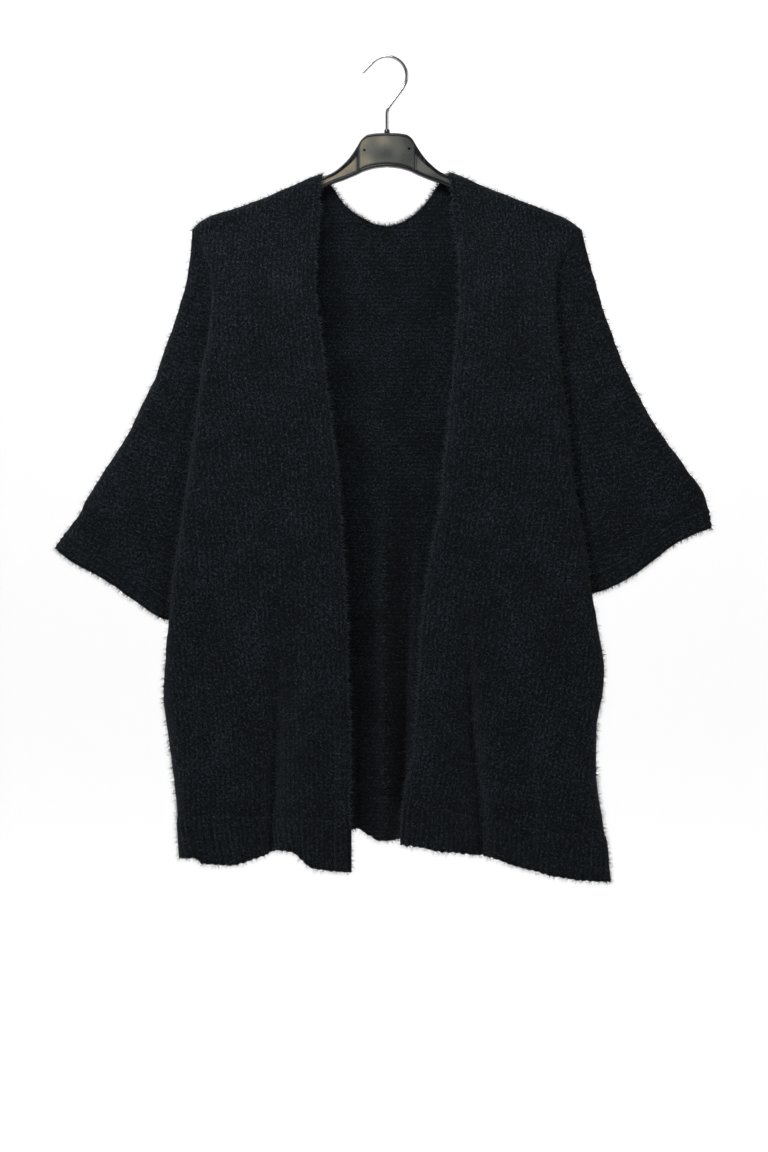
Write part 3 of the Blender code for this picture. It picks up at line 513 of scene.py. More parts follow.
# Folds: x and height of the top and of the bottom, half width, and depth inwards. A
# depth below zero stands outwards.
FRONT_FOLDS = {
    "right": [
        (-103, -560, -131, -905, 16, 7.0), (-80, -600, -86, -905, 17, -4.0),
        (-150, -470, -212, -680, 15, 2.5), (-168, -560, -176, -900, 18, -2.5),
        (-121, -560, -131, -905, 7.5, 9.0), (-60, -600, -64, -905, 8, 4.0),
    ],
    "left": [
        (84, -650, 107, -900, 14, 6.0), (126, -600, 158, -900, 15, 3.5),
        (56, -560, 60, -900, 16, -3.0), (190, -420, 205, -900, 20, -2.5),
        (80, -540, 108, -905, 7.5, 9.0), (150, -660, 168, -905, 9, 3.0),
    ],
}
BACK_FOLDS = [
    (-2, -400, -4, -890, 13, 5.0), (12, -380, 19, -890, 10, -4.0), (-34, -600, -32, -890, 9, -6.0),
    (-150, -380, -163, -900, 18, 5.0), (-104, -520, -112, -900, 16, -4.0),
    (84, -600, 96, -900, 15, 4.5), (150, -360, 168, -910, 19, -5.0),
    (32, -440, 19, -880, 7, -5.0), (-34, -620, -33, -890, 7, -3.0), (-1, -420, 2, -880, 10, 6.0),
]


def round_off(distance, radius):
    """0 at an edge, 1 from one radius in, along a quarter circle."""
    t = np.clip(distance / radius, 0.0, 1.0)
    return np.sqrt(1 - (1 - t) ** 2)


def shoulder_height(x):
    return smooth_through(SHOULDER_LINE, 1, x)


def back_top(x):
    between = (x > BACK_NECK[0][0]) & (x < BACK_NECK[-1][0])
    return np.where(between, smooth_through(BACK_NECK, 1, x), shoulder_height(x))


def fold_offset(folds, x, z):
    """How far the folds push the cloth inwards at a place."""
    total = 0.0
    for top_x, top_z, bottom_x, bottom_z, half_width, depth in folds:
        along = (z - top_z) / (bottom_z - top_z)
        centre = mix(top_x, bottom_x, along)
        total = total + depth * ease(along * 1.6) * np.exp(-((x - centre) / half_width) ** 2)
    return total


def hang_depth(full_depth, below):
    """Distance from the hanger's plane, by the distance below the shoulder line."""
    return mix(SHOULDER_RADIUS, full_depth, ease((below - SHOULDER_RADIUS) / DEPTH_RAMP))


def body_place(side, face, share, z):
    """A point of a front (face -1) or of the back (face 1), in the flat and round its side.

    A share of 0 to 1 is the flat cloth out to the turned edge, 1 to 2 the turn, 2 to 3
    the straight run behind it and 3 to 4 the last stretch to the seam.
    """
    sign = SIGN[side]
    rows = BODY_ROWS[side]
    full_depth = FRONT_DEPTH if face < 0 else BACK_DEPTH
    width = smooth_through(rows, 2, z)
    degrees = smooth_through(rows, 3, z)
    inset = smooth_through(rows, 4, z)
    angle = np.radians(degrees)
    side_depth = hang_depth(full_depth, shoulder_height(sign * width) - z)
    flat = 1 - ease((degrees - 15) / 60)
    # The straight run behind the turn, and the short tail from there to the seam.
    run = np.maximum(1.0 + 3.0 * flat, inset - 9.5)
    tail = 1.5 + 4.0 * flat + 2.0 * ease(degrees / 90 - 1)
    radius = (side_depth - ARMHOLE_DEPTH - (run + tail) * np.sin(angle)) / (1 - np.cos(angle))
    radius = np.clip(radius, *TURN_RADII)
    open_turn = width - radius * np.sin(angle) - (run + tail) * np.cos(angle)
    centre = np.where(angle < math.pi / 2, open_turn, width - radius)

    start = smooth_through(rows, 1, z) if face < 0 else 0.0 * z
    out = mix(start, centre, share)
    below = shoulder_height(sign * out) - z
    depth = hang_depth(full_depth, below)
    folds = FRONT_FOLDS[side] if face < 0 else BACK_FOLDS
    depth = depth - fold_offset(folds, sign * out, z) * ease((centre - out) / 22)
    if face < 0:
        curl = np.maximum(0.0, 1 - (out - start) / EDGE_CURL_WIDTH) ** 2
        depth = depth - EDGE_CURL * curl * ease((below - 30) / 90)

    turned_by = angle * np.clip(share - 1, 0.0, 1.0)
    straight = run * np.clip(share - 2, 0.0, 1.0)
    turn_out = centre + radius * np.sin(turned_by) + straight * np.cos(angle)
    turn_depth = side_depth - radius * (1 - np.cos(turned_by)) - straight * np.sin(angle)
    last_out = turn_out + tail * np.cos(angle)
    last_depth = turn_depth - tail * np.sin(angle)
    closing = np.clip((UNDERARM + UNDERARM_ROUND - z) / UNDERARM_ROUND, 0.0, 1.0)
    last_out = mix(last_out, width - inset, closing)
    last_depth = last_depth * np.sqrt(1 - closing ** 2)
    last = np.clip(share - 3, 0.0, 1.0)
    turn_out = mix(turn_out, last_out, last)
    turn_depth = mix(turn_depth, last_depth, last)

    out = np.where(share <= 1, out, turn_out)
    depth = np.where(share <= 1, depth, turn_depth)
    depth = depth * round_off(shoulder_height(sign * out) - z, SHOULDER_RADIUS)
    depth = np.maximum(depth, 0.0)
    return np.stack([sign * out, face * depth, z], axis=-1)


def column_tops(side, face, shares):
    """Height where each column meets the shoulder line or the back neckline."""
    z = np.full(len(shares), -160.0)
    for _ in range(12):
        x = body_place(side, face, shares, z)[:, 0]
        z = shoulder_height(x) if face < 0 else back_top(x)
    return z


def rib_top_height(side, face, x):
    """Height where the rib begins, at a distance from the centre line."""
    middle, edge = RIB_TOP[side]
    if face < 0:
        start = smooth_through(BODY_ROWS[side], 1, middle)
        return mix(middle, edge, np.sin(math.pi / 2 * (x - start) / (SIDE_WIDTH - start)))
    return mix(BACK_RIB_TOP_MIDDLE, edge, ease(x / SIDE_WIDTH))


def steps_between(first, last, size):
    return np.linspace(first, last, max(2, int(round(abs(last - first) / size)) + 1))


def lap(points, reach):
    """Runs the first line of points on past a seam, a little way into the next piece."""
    on = points[0] - points[1]
    points[0] += reach * on / np.linalg.norm(on, axis=1, keepdims=True)


def panel_heights(side, face, shares, row_size):
    """Heights down every column: over the shoulder, along the armhole and down the side."""
    top = column_tops(side, face, shares)
    out = np.minimum(shares, 1.0)
    start = smooth_through(BODY_ROWS[side], 1, RIB_TOP[side][0]) if face < 0 else 0.0
    low = rib_top_height(side, face, mix(start, SIDE_WIDTH, out))
    over = np.array([0.0, 0.6, 1.6, 3.2, 5.2, 7.5, 10.0])
    armhole = steps_between(0.0, 1.0, row_size / 300)[1:]
    bottom = steps_between(0.0, 1.0, row_size / 360)[1:]
    heights = [top - step for step in over]
    heights += [mix(top - over[-1], UNDERARM, share) for share in armhole]
    heights += [mix(UNDERARM, low, share) for share in bottom]
    return np.array(heights)


def side_shares(column_size):
    """Shares over the turned edge of a panel, fine enough for its round."""
    return np.concatenate([np.linspace(1, 2, int(30 / column_size) + 1)[1:],
                           np.linspace(2, 3, int(12 / column_size) + 1)[1:], [3.35, 3.7, 4.0]])


def front_grid(side, column_size, row_size):
    shares = np.concatenate([steps_between(0, 1, column_size / FRONT_WIDTH), side_shares(column_size)])
    z = panel_heights(side, -1, shares, row_size)
    return body_place(side, -1, np.broadcast_to(shares, z.shape), z)


def back_grid(column_size, row_size):
    shares = np.concatenate([steps_between(0, 1, column_size / BACK_WIDTH), side_shares(column_size)])
    halves = []
    for side in ("right", "left"):
        z = panel_heights(side, 1, shares, row_size)
        halves.append(body_place(side, 1, np.broadcast_to(shares, z.shape), z))
    return np.concatenate([halves[0][:, :0:-1], halves[1]], axis=1)


def outward_normals(points, joined_from=None):
    """A unit normal at each point. From the row joined_from on, the ring is closed."""
    rows, columns = points.shape[:2]
    grid = np.concatenate([points, points[:, :1]], axis=1)
    faces = np.cross(grid[1:, 1:] - grid[:-1, :-1], grid[1:, :-1] - grid[:-1, 1:])
    faces /= np.maximum(np.linalg.norm(faces, axis=2, keepdims=True), 1e-9)
    faces[:rows if joined_from is None else joined_from, -1] = 0.0
    total = np.zeros_like(points)
    total[:-1] += faces
    total[1:] += faces
    total[:-1] += np.roll(faces, 1, axis=1)
    total[1:] += np.roll(faces, 1, axis=1)
    total /= np.maximum(np.linalg.norm(total, axis=2, keepdims=True), 1e-9)
    middle = rows // 2
    if joined_from is None:
        centre = columns // 2
        outward = total[middle, centre, 1] * points[middle, centre, 1] > 0
    else:
        outward = (total[middle] * (points[middle] - points[middle].mean(axis=0))).sum() > 0
    return total if outward else -total


def ridge_normals(points, side, face):
    """The direction across the wall at the armhole seam, near the shoulder tip."""
    drop = (shoulder_height(SHOULDER_TIP) - points[..., 2]) / SHOULDER_RADIUS
    up = np.maximum(0.0, 1 - drop)
    out = mix(*RIDGE_OUT, np.minimum(drop, 1.0))
    normals = np.stack([SIGN[side] * out, face * np.sqrt(1 - up ** 2), up], axis=-1)
    return normals / np.linalg.norm(normals, axis=-1, keepdims=True)


def cloud(u, v, size, seed):
    """Soft unevenness from -1 to 1, with lumps of about a size, over places on the cloth."""
    table = np.random.RandomState(seed).uniform(-1, 1, (64, 64))
    a, b = u / size, v / size
    i, j = np.floor(a).astype(int), np.floor(b).astype(int)
    s, t = ease(a - i), ease(b - j)
    near = mix(table[i % 64, j % 64], table[(i + 1) % 64, j % 64], s)
    far = mix(table[i % 64, (j + 1) % 64], table[(i + 1) % 64, (j + 1) % 64], s)
    return mix(near, far, t)


def travelled(points, axis):
    """Length along the cloth in millimetres from its first row or column."""
    steps = np.linalg.norm(np.diff(points, axis=axis), axis=2)
    return np.concatenate([np.zeros_like(steps.take([0], axis=axis)), np.cumsum(steps, axis=axis)], axis=axis)


def knitted_columns(u, v, pitch, seed):
    """Height of the face of the knit, 0 in the furrow and 1 on a column."""
    (wide, wide_size), (small, small_size) = COLUMN_WANDER
    wander = wide * cloud(u, v, wide_size, seed) + small * cloud(u, v, small_size, seed + 1)
    wave = 0.5 + 0.5 * np.cos(2 * math.pi * (u + wander) / pitch)
    return wave * (0.6 + 0.4 * cloud(u, v, 8.0, seed + 2))


def fray(points, across, along, seed, amount=1.0):
    """Moves the first line of points a little in and out, as loose edge stitches lie."""
    outward = points[0] - points[1]
    outward /= np.linalg.norm(outward, axis=1, keepdims=True)
    sway = amount * (cloud(across[0], along[0], 6.5, seed) + 0.6 * cloud(across[0], along[0], 3.2, seed + 1))
    for line, share in enumerate((1.0, 0.5)):
        points[line] += outward * (share * sway)[:, None]


def knit_wall(name, points, normals, relief, across, along, joined_from=None, inside=0.0,
              top=0.0, bottom=0.0, side=0.0):
    """A closed shell of knit with the points on its outside.

    relief is how far each outer point is raised. across and along are places on the
    cloth in millimetres, which go to the UV map. The inside carries the reverse side,
    whose ridges run the other way. The attribute pile says where loose fibres stand:
    most on turned edges, and on the free borders as top, bottom and side give it.
    """
    rows, columns = points.shape[:2]
    outer = points + normals * relief[..., None]
    lumps = 0.5 * cloud(across, along, 14.0, INSIDE_SEED)
    inner = points - normals * (WALL + lumps)[..., None]
    behind = rows * columns
    joined = rows if joined_from is None else joined_from
    faces = []
    for i in range(rows - 1):
        for j in range(columns if i >= joined else columns - 1):
            k = (j + 1) % columns
            a, b, c, d = i * columns + j, i * columns + k, (i + 1) * columns + k, (i + 1) * columns + j
            faces.append((a, b, c, d))
            faces.append((behind + d, behind + c, behind + b, behind + a))
    last = (rows - 1) * columns
    border = [(j, j + 1) for j in range(columns - 1)]
    border += [(last + j + 1, last + j) for j in range(columns - 1)]
    for i in range(min(joined, rows - 1)):
        border.append(((i + 1) * columns, i * columns))
        border.append((i * columns + columns - 1, (i + 1) * columns + columns - 1))
    if joined < rows:
        border.append((joined * columns + columns - 1, joined * columns))
        border.append((last, last + columns - 1))
    faces += [(b, a, behind + a, behind + b) for a, b in border]
    mesh = mesh_of(name, np.concatenate([outer.reshape(-1, 3), inner.reshape(-1, 3)]), faces)
    edge = np.zeros((rows, columns))
    edge[0] = top
    edge[-1] = bottom
    edge[:, :2] = np.maximum(edge[:, :2], side)
    pile = PILE_FLAT + PILE_TURNED * (1 - np.abs(normals[..., 1])) ** 1.6 + edge
    weights = np.concatenate([pile.ravel(), inside + edge.ravel()])
    mesh.attributes.new("pile", "FLOAT", "POINT").data.foreach_set("value", weights)
    face_side = np.stack([across, along], axis=-1).reshape(-1, 2)
    reverse = np.stack([along * COLUMN_PITCH / ROW_PITCH, across], axis=-1).reshape(-1, 2)
    place = np.concatenate([face_side, reverse]) * MM
    corner = np.zeros(len(mesh.loops), int)
    mesh.loops.foreach_get("vertex_index", corner)
    mesh.uv_layers.new(name="knit").data.foreach_set("uv", place[corner].ravel())
    return mesh


def knit_material(name, furrow, face, fibre):
    """Brushed knit: faint columns, broken up by curled loops and matted fibres. Its colour follows the
    relief, darkest as painted shade in the low places.
    """
    material, tree = new_material(name, Roughness=0.95, Specular_IOR_Level=0.06)
    shader = shader_of(material)
    shader.inputs["Sheen Weight"].default_value = 0.035
    shader.inputs["Sheen Roughness"].default_value = 0.5
    shader.inputs["Sheen Tint"].default_value = (0.5, 0.58, 0.66, 1.0)
    uv = add_node(tree, "ShaderNodeUVMap", uv_map="knit").outputs["UV"]
    waves = add_node(tree, "ShaderNodeTexWave", {
        "Vector": uv, "Scale": 0.31416 / (COLUMN_PITCH * MM), "Distortion": 5.0, "Detail": 3.0,
        "Detail Scale": 2.2, "Detail Roughness": 0.7, "Phase Offset": math.pi / 2},
        wave_type="BANDS", bands_direction="X", wave_profile="SIN").outputs["Fac"]
    stretched = add_node(tree, "ShaderNodeMapping", {"Vector": uv, "Scale": (500.0, 430.0, 1.0)})
    loops = noise_node(tree, stretched.outputs["Vector"], 1.0, Detail=4.0, Roughness=0.68, Distortion=0.8)
    matted = add_node(tree, "ShaderNodeMapping", {"Vector": uv, "Scale": (1300.0, 900.0, 1.0)})
    hairs = noise_node(tree, matted.outputs["Vector"], 1.0, Detail=3.0, Roughness=0.7, Distortion=1.6)
    columns = math_node(tree, "MULTIPLY", waves, 0.05)
    body = math_node(tree, "MULTIPLY_ADD", loops, 0.9, columns)
    height = math_node(tree, "MULTIPLY_ADD", hairs, 0.4, body)
    patches = noise_node(tree, uv, 22.0, Detail=3.0)
    shade = math_node(tree, "MULTIPLY_ADD", patches, 0.12, height)
    # The ramp's first colour is painted shade in the low places of the relief; the paler fibre colour on the
    # raised loops is partly the yarn's own tone and partly painted light.
    colour = ramp_node(tree, shade, [(0.64, furrow), (0.88, fibre), (0.755, face)])
    tree.links.new(colour, shader.inputs["Base Color"])
    bump = add_node(tree, "ShaderNodeBump", {"Height": height, "Strength": 0.9, "Distance": 0.0022})
    tree.links.new(bump.outputs["Normal"], shader.inputs["Normal"])
    return material


# The first colour is the painted shade of the knit's low places.
knit = knit_material("brushed_black_knit", (0.0001, 0.0002, 0.0003), (0.0013, 0.0021, 0.0029),
                     (0.0144, 0.0198, 0.0252))


def add_cloth(name, mesh, node):
    """A cut piece of the garment, hung on what carries it."""
    made = finished(name, mesh, knit, [node])
    return made


def body_relief(across, along, seed):
    """Knit columns and soft unevenness, which calms down towards the hem rib."""
    columns = COLUMN_RAISE * knitted_columns(across, along, COLUMN_PITCH, seed)
    uneven = sum(height * cloud(across, along, size, seed + step) for height, size, step in BODY_LUMPS)
    return columns + uneven * ease((along[-1] - along) / RELIEF_FADE)


cloth = {}
back = back_grid(*BACK_FACE)
middle_column = back.shape[1] // 2
across = travelled(back, 1)
across = across - across[:, middle_column:middle_column + 1]
along = -back[..., 2]
relief = body_relief(across, along, KNIT_SEEDS["back"])
normals = outward_normals(back)
near_tip = back[:, 0, 2] > RIDGE_END
normals[near_tip, 0] = ridge_normals(back[near_tip, 0], "right", 1)
near_tip = back[:, -1, 2] > RIDGE_END
normals[near_tip, -1] = ridge_normals(back[near_tip, -1], "left", 1)
at_neck = np.abs(back[0, :, 0]) < BACK_NECK[-1][0] + 4
mesh = knit_wall("back", back, normals, relief, across, along, inside=PILE_REVERSE,
                 top=np.where(at_neck, PILE_NECKLINE, PILE_SEAM))
cloth["back"] = add_cloth(
    "back_panel_knit", mesh, "back_panel")
for side in SIGN:
    front = front_grid(side, *FRONT_FACE)
    across, along = travelled(front, 1), -front[..., 2]
    relief = body_relief(across, along, KNIT_SEEDS[side])
    normals = outward_normals(front)
    fray(front.swapaxes(0, 1), across.T, along.T, FRAY_SEED)
    near_tip = front[:, -1, 2] > RIDGE_END
    normals[near_tip, -1] = ridge_normals(front[near_tip, -1], side, -1)
    mesh = knit_wall("front_" + side, front, normals, relief, across, along, top=PILE_SEAM,
                     side=PILE_FREE_EDGE)
    cloth["front_" + side] = add_cloth(
        "front_" + side + "_knit", mesh, "front_" + side)

# ---------------------------------------------------------------- hem ribs
# Each panel ends in a band of broad upright ribs, knitted on in one with it. The lower
# edge hangs unevenly, and each rib ends in a small round.

RIB_PITCH = 8.0
RIB_RAISE = 2.0
RIB_END = 1.2              # how far the round end of a rib reaches down past its furrows
RIB_GROWTH = 9.0           # the ribs grow to their full height over this
HEM_EDGE_LEVEL = -905.0    # the width of a band is taken at this height
HEM_FRONT_FACE = 1.2       # width of one face of the mesh
HEM_BACK_FACE = 1.25
HEM_FRONT_WIDTH = 165      # flat width that the faces are counted over
HEM_BACK_WIDTH = 235
HEM_FRONT_SEED = 81
HEM_BACK_SEED = 71
# Lower edges, as x and height.
HEM_EDGE = {
    "right": [
        (-253, -903), (-233, -907), (-225, -913), (-193, -914.5), (-151, -905),
        (-130, -898.5), (-112, -900), (-100, -910), (-88, -917.5), (-59, -922), (-41, -923),
    ],
    "left": [
        (15, -892), (42, -895), (62, -899), (97, -902.5), (124, -906),
        (148, -914), (176, -921.5), (200, -927.5), (233, -932), (254, -934),
    ],
    "back": [
        (-253, -903), (-233, -907), (-150, -901), (-60, -884), (-35, -878.5), (-20, -886),
        (-8, -891), (15, -889.5), (80, -893), (160, -909), (254, -934),
    ],
}


def hem_grid(side, face, column_size, flat_width):
    """Outer places of one side's hem band, from its free edge or the middle out."""
    shares = np.concatenate([steps_between(0, 1, column_size / flat_width), side_shares(column_size)])
    out = np.minimum(shares, 1.0)
    start = smooth_through(BODY_ROWS[side], 1, RIB_TOP[side][0]) if face < 0 else 0.0
    top = rib_top_height(side, face, mix(start, SIDE_WIDTH, out))
    low_start = smooth_through(BODY_ROWS[side], 1, HEM_EDGE_LEVEL) if face < 0 else 0.0
    width = smooth_through(BODY_ROWS[side], 2, HEM_EDGE_LEVEL)
    edges = HEM_EDGE[side] if face < 0 else HEM_EDGE["back"]
    low = smooth_through(edges, 1, SIGN[side] * mix(low_start, width, out))
    down = np.concatenate([[0.0, 0.04], np.linspace(0.1, 0.96, 9), [0.985, 1.0]])
    z = mix(top[None, :], low[None, :], down[:, None])
    return body_place(side, face, np.broadcast_to(shares, z.shape), z)


def rib_relief(across, along, seed):
    """Round ribs with narrow furrows, growing out of the plain knit above."""
    wander = 0.5 * cloud(across, along, 30.0, seed)
    wave = np.abs(np.cos(math.pi * (across + wander) / RIB_PITCH)) ** 0.7
    grown = ease(along / RIB_GROWTH)
    plain = COLUMN_RAISE * knitted_columns(across, along, COLUMN_PITCH, seed)
    return mix(plain, RIB_RAISE * wave + 0.5 * cloud(across, along, 22.0, seed + 3), grown)


def add_hem(key, points, across, seed):
    lap(points, SEAM_LAP)
    along = travelled(points, 0)
    normals = outward_normals(points)
    points[-2:, :, 2] += RIB_END / 2 - RIB_END * np.abs(np.cos(math.pi * across[-2:] / RIB_PITCH))
    fray(points[::-1], across[::-1], along[::-1], seed, 0.5)
    mesh = knit_wall(key, points, normals, rib_relief(across, along, seed), across, along,
                     bottom=PILE_LOWER_EDGE, side=0.0 if key == "hem_back" else PILE_FREE_EDGE)
    cloth[key] = add_cloth(key + "_ribs", mesh, key)


hem_right = hem_grid("right", 1, HEM_BACK_FACE, HEM_BACK_WIDTH)
hem_left = hem_grid("left", 1, HEM_BACK_FACE, HEM_BACK_WIDTH)
hem_whole = np.concatenate([hem_right[:, :0:-1], hem_left], axis=1)
middle_column = hem_right.shape[1] - 1
across = travelled(hem_whole, 1)
across = across - across[:, middle_column:middle_column + 1]
add_hem("hem_back", hem_whole, across, HEM_BACK_SEED)
for side in SIGN:
    points = hem_grid(side, -1, HEM_FRONT_FACE, HEM_FRONT_WIDTH)
    add_hem("hem_front_" + side, points, travelled(points, 1),
            HEM_FRONT_SEED)

# ---------------------------------------------------------------- sleeves and cuffs
# Wide three-quarter sleeves, which widen from the armhole to the cuff and hang almost
# flat. Their columns of knit run across the arm. Each ends in a narrow turned cuff.

SEAM_GAP = 0.3             # between the body and the sleeve, before they lap
UNDERARM_EASE = 1.0        # more room close to the underarm
UNDERARM_REACH = 60.0      # the sleeve is thinned by it this far up and down
UNDERARM_SEAM = 3.0        # half thickness at the seam below the underarm
SLEEVE_ROUND = 11.0        # round of the sleeve at its outer edge and at its seam
SLEEVE_SWELL = 0.3         # how fast the sleeve fills out past the body's fold
SLEEVE_CALM = 14.0         # the knit's relief is faint this near to a seam
SLEEVE_ROW_SIZE = 1.5
SLEEVE_SEED = 101
# Unevenness of the sleeve: height, size of its lumps and step from the seed.
SLEEVE_LUMPS = ((1.1, 42.0, 2), (0.5, 16.0, 3), (0.35, 7.0, 4))
CUFF_RIDGE_PITCH = 7.4
CUFF_RIDGE_RAISE = 1.3
CUFF_ROWS = 17
CUFF_SEED = 121
SLEEVE_EDGE = {
    "right": [
        (221, -195), (223, -228), (228, -257), (244.5, -308), (258, -349),
        (272, -384), (285.5, -410.5), (310.5, -453.5), (333, -488), (351, -521),
    ],
    "left": [
        (221, -195), (225.5, -218), (238.8, -262), (260.4, -330.6), (274, -361),
        (294, -400), (317, -433.7), (349, -479.6), (361, -498),
    ],
}
CUFF_EDGE = {
    "right": [(377, -557), (360, -571), (322, -592), (292, -612.5), (258, -635.5), (243, -641)],
    "left": [(368.5, -534), (340, -545.5), (318.5, -558), (297.5, -575.5), (260, -599), (228, -611)],
}
CUFF_UP = {
    "right": ((-13.0, 18.0), (-11.5, 18.5)),
    "left": ((-3.5, 21.5), (-10.0, 19.5)),
}
# Rows down a sleeve: height at the armhole seam, or below it the share of the underarm
# seam, then the share of the outer edge, and the sleeve's half thickness.
SLEEVE_SEAM_ROWS = [
    (-244.0, 0.11, 8.0), (-273.0, 0.18, 8.5), (-308.0, 0.27, 9.5), (-350.0, 0.37, 10.5),
    (-400.0, 0.48, 11.5), (-450.0, 0.59, 12.5), (-481.0, 0.66, 12.5), (-497.0, 0.70, 12.5),
]
SLEEVE_LOW_ROWS = [
    (0.0, 0.73, 12.5), (0.25, 0.80, 12.0), (0.5, 0.87, 11.5), (0.75, 0.935, 11.0), (1.0, 1.0, 10.5),
]
# Over the shoulder tip: share of the way to the outer edge, and drop below the tip.
TIP_DROPS = [(0.0, 28.0), (0.06, 23.0), (0.16, 18.0), (0.3, 14.0), (0.48, 12.0),
             (0.66, 10.0), (0.82, 7.5), (0.93, 5.0), (0.985, 1.4), (1.0, 0.0)]
ACROSS_SLEEVE = np.array([0, 0.03, 0.06, 0.1, 0.16, 0.23, 0.3, 0.39, 0.48, 0.57, 0.66, 0.74,
                          0.82, 0.88, 0.93, 0.96, 0.985, 0.996, 1.0])


def along_line(rows, share):
    """Points at shares of the length of a table's smooth line, as x and height."""
    points = np.array(rows, float)
    at = np.concatenate([[0.0], np.cumsum(np.hypot(*np.diff(points, axis=0).T))])
    table = np.column_stack([at, points])
    return np.stack([smooth_through(table, column, share * at[-1]) for column in (1, 2)], axis=-1)


def seam_place(side, face, z):
    """A point of the sleeve's edge at the armhole, a seam's gap off the body."""
    z = np.asarray(z, float)
    point = body_place(side, face, np.full(z.shape, 4.0), z)
    half_turn = np.radians(smooth_through(BODY_ROWS[side], 3, z)) / 2
    low = ease((UNDERARM_ROUND + 20 - np.abs(z - UNDERARM)) / UNDERARM_ROUND)
    point[..., 0] += SIGN[side] * (SEAM_GAP * np.cos(half_turn) + UNDERARM_EASE * low)
    point[..., 1] -= face * (SEAM_GAP * np.sin(half_turn) + UNDERARM_EASE * low)
    return point


def cuff_lines(side):
    """Upper and lower edge of the cuff, as distance from the centre line and height."""
    lower = along_line(CUFF_EDGE[side], 1 - ACROSS_SLEEVE)
    outer_end, inner_end = (np.array(end) for end in CUFF_UP[side])
    return lower + mix(inner_end, outer_end, ACROSS_SLEEVE[:, None]), lower


def sleeve_half(side, depth, width, place, inner):
    """Half thickness of the hanging sleeve, which stays thin behind the body's fold."""
    past_fold = place[:, 0] - smooth_through(BODY_ROWS[side], 2, place[:, 1])
    near_underarm = ease(1 - np.abs(place[:, 1] - UNDERARM) / UNDERARM_REACH)
    limit = ARMHOLE_DEPTH - 0.4 - UNDERARM_EASE * near_underarm
    depth = np.minimum(depth, limit + SLEEVE_SWELL * np.maximum(0.0, past_fold))
    depth = mix(inner, depth, round_off(ACROSS_SLEEVE * width, SLEEVE_ROUND))
    return depth * round_off((1 - ACROSS_SLEEVE) * width, SLEEVE_ROUND)


def sleeve_rows(side, face):
    """One layer of the sleeve in its main rows, from the shoulder down to the cuff."""
    upper, _ = cuff_lines(side)
    edge_rows = SLEEVE_EDGE[side] + [tuple(upper[-1])]
    tip = shoulder_height(SHOULDER_TIP)
    first = seam_place(side, face, tip - smooth_through(TIP_DROPS, 1, ACROSS_SLEEVE))
    first[-1, 1] = 0.0
    stations = []
    for z, edge_share, depth in SLEEVE_SEAM_ROWS:
        seam = seam_place(side, face, z)
        stations.append((np.array([abs(seam[0]), z]), abs(seam[1]), edge_share, depth))
    underarm = np.array([abs(seam_place(side, face, UNDERARM)[0]) + UNDERARM_EASE, UNDERARM])
    for share, edge_share, depth in SLEEVE_LOW_ROWS:
        stations.append((mix(underarm, upper[0], share), UNDERARM_SEAM, edge_share, depth))
    rows = [first]
    for inner, inner_depth, edge_share, depth in stations:
        outer = along_line(edge_rows, edge_share)
        place = upper if edge_share == 1.0 else mix(inner, outer, ACROSS_SLEEVE[:, None])
        y = sleeve_half(side, depth, np.hypot(*(outer - inner)), place, inner_depth)
        rows.append(np.stack([SIGN[side] * place[:, 0], face * y, place[:, 1]], axis=-1))
    return np.array(rows)


def both_layers(front, back):
    """Columns from the front seam out to the edge and in along the back."""
    return np.concatenate([front, back[:, -2::-1]], axis=1)


def finer_rows(points, size, keep):
    """The same surface with rows about size apart. Returns it and the new place of row keep."""
    at = np.concatenate([[0.0], np.cumsum(np.linalg.norm(np.diff(points, axis=0), axis=2).mean(axis=1))])
    slope = np.gradient(points, at, axis=0)
    wanted = np.unique(np.concatenate([
        steps_between(0, at[keep], size), steps_between(at[keep], at[-1], size)]))
    i = np.clip(np.searchsorted(at, wanted, side="right") - 1, 0, len(at) - 2)
    width = (at[i + 1] - at[i])[:, None, None]
    t = (wanted - at[i])[:, None, None] / width
    finer = curve_between(points[i], slope[i], points[i + 1], slope[i + 1], width, t)
    return finer, int(np.argmin(np.abs(wanted - at[keep])))


def cuff_grid(side):
    """Outer places of a cuff, from its seam to its lower edge."""
    upper, lower = cuff_lines(side)
    width = np.hypot(*(upper[0] - upper[-1]))
    rows = []
    for step in np.linspace(0.0, 1.0, CUFF_ROWS):
        place = mix(upper, lower, step)
        y = sleeve_half(side, SLEEVE_LOW_ROWS[-1][2], width, place, UNDERARM_SEAM)
        x = SIGN[side] * place[:, 0]
        front, back = (np.stack([x, face * y, place[:, 1]], axis=-1)[None] for face in (-1, 1))
        rows.append(both_layers(front, back)[0])
    return np.array(rows)


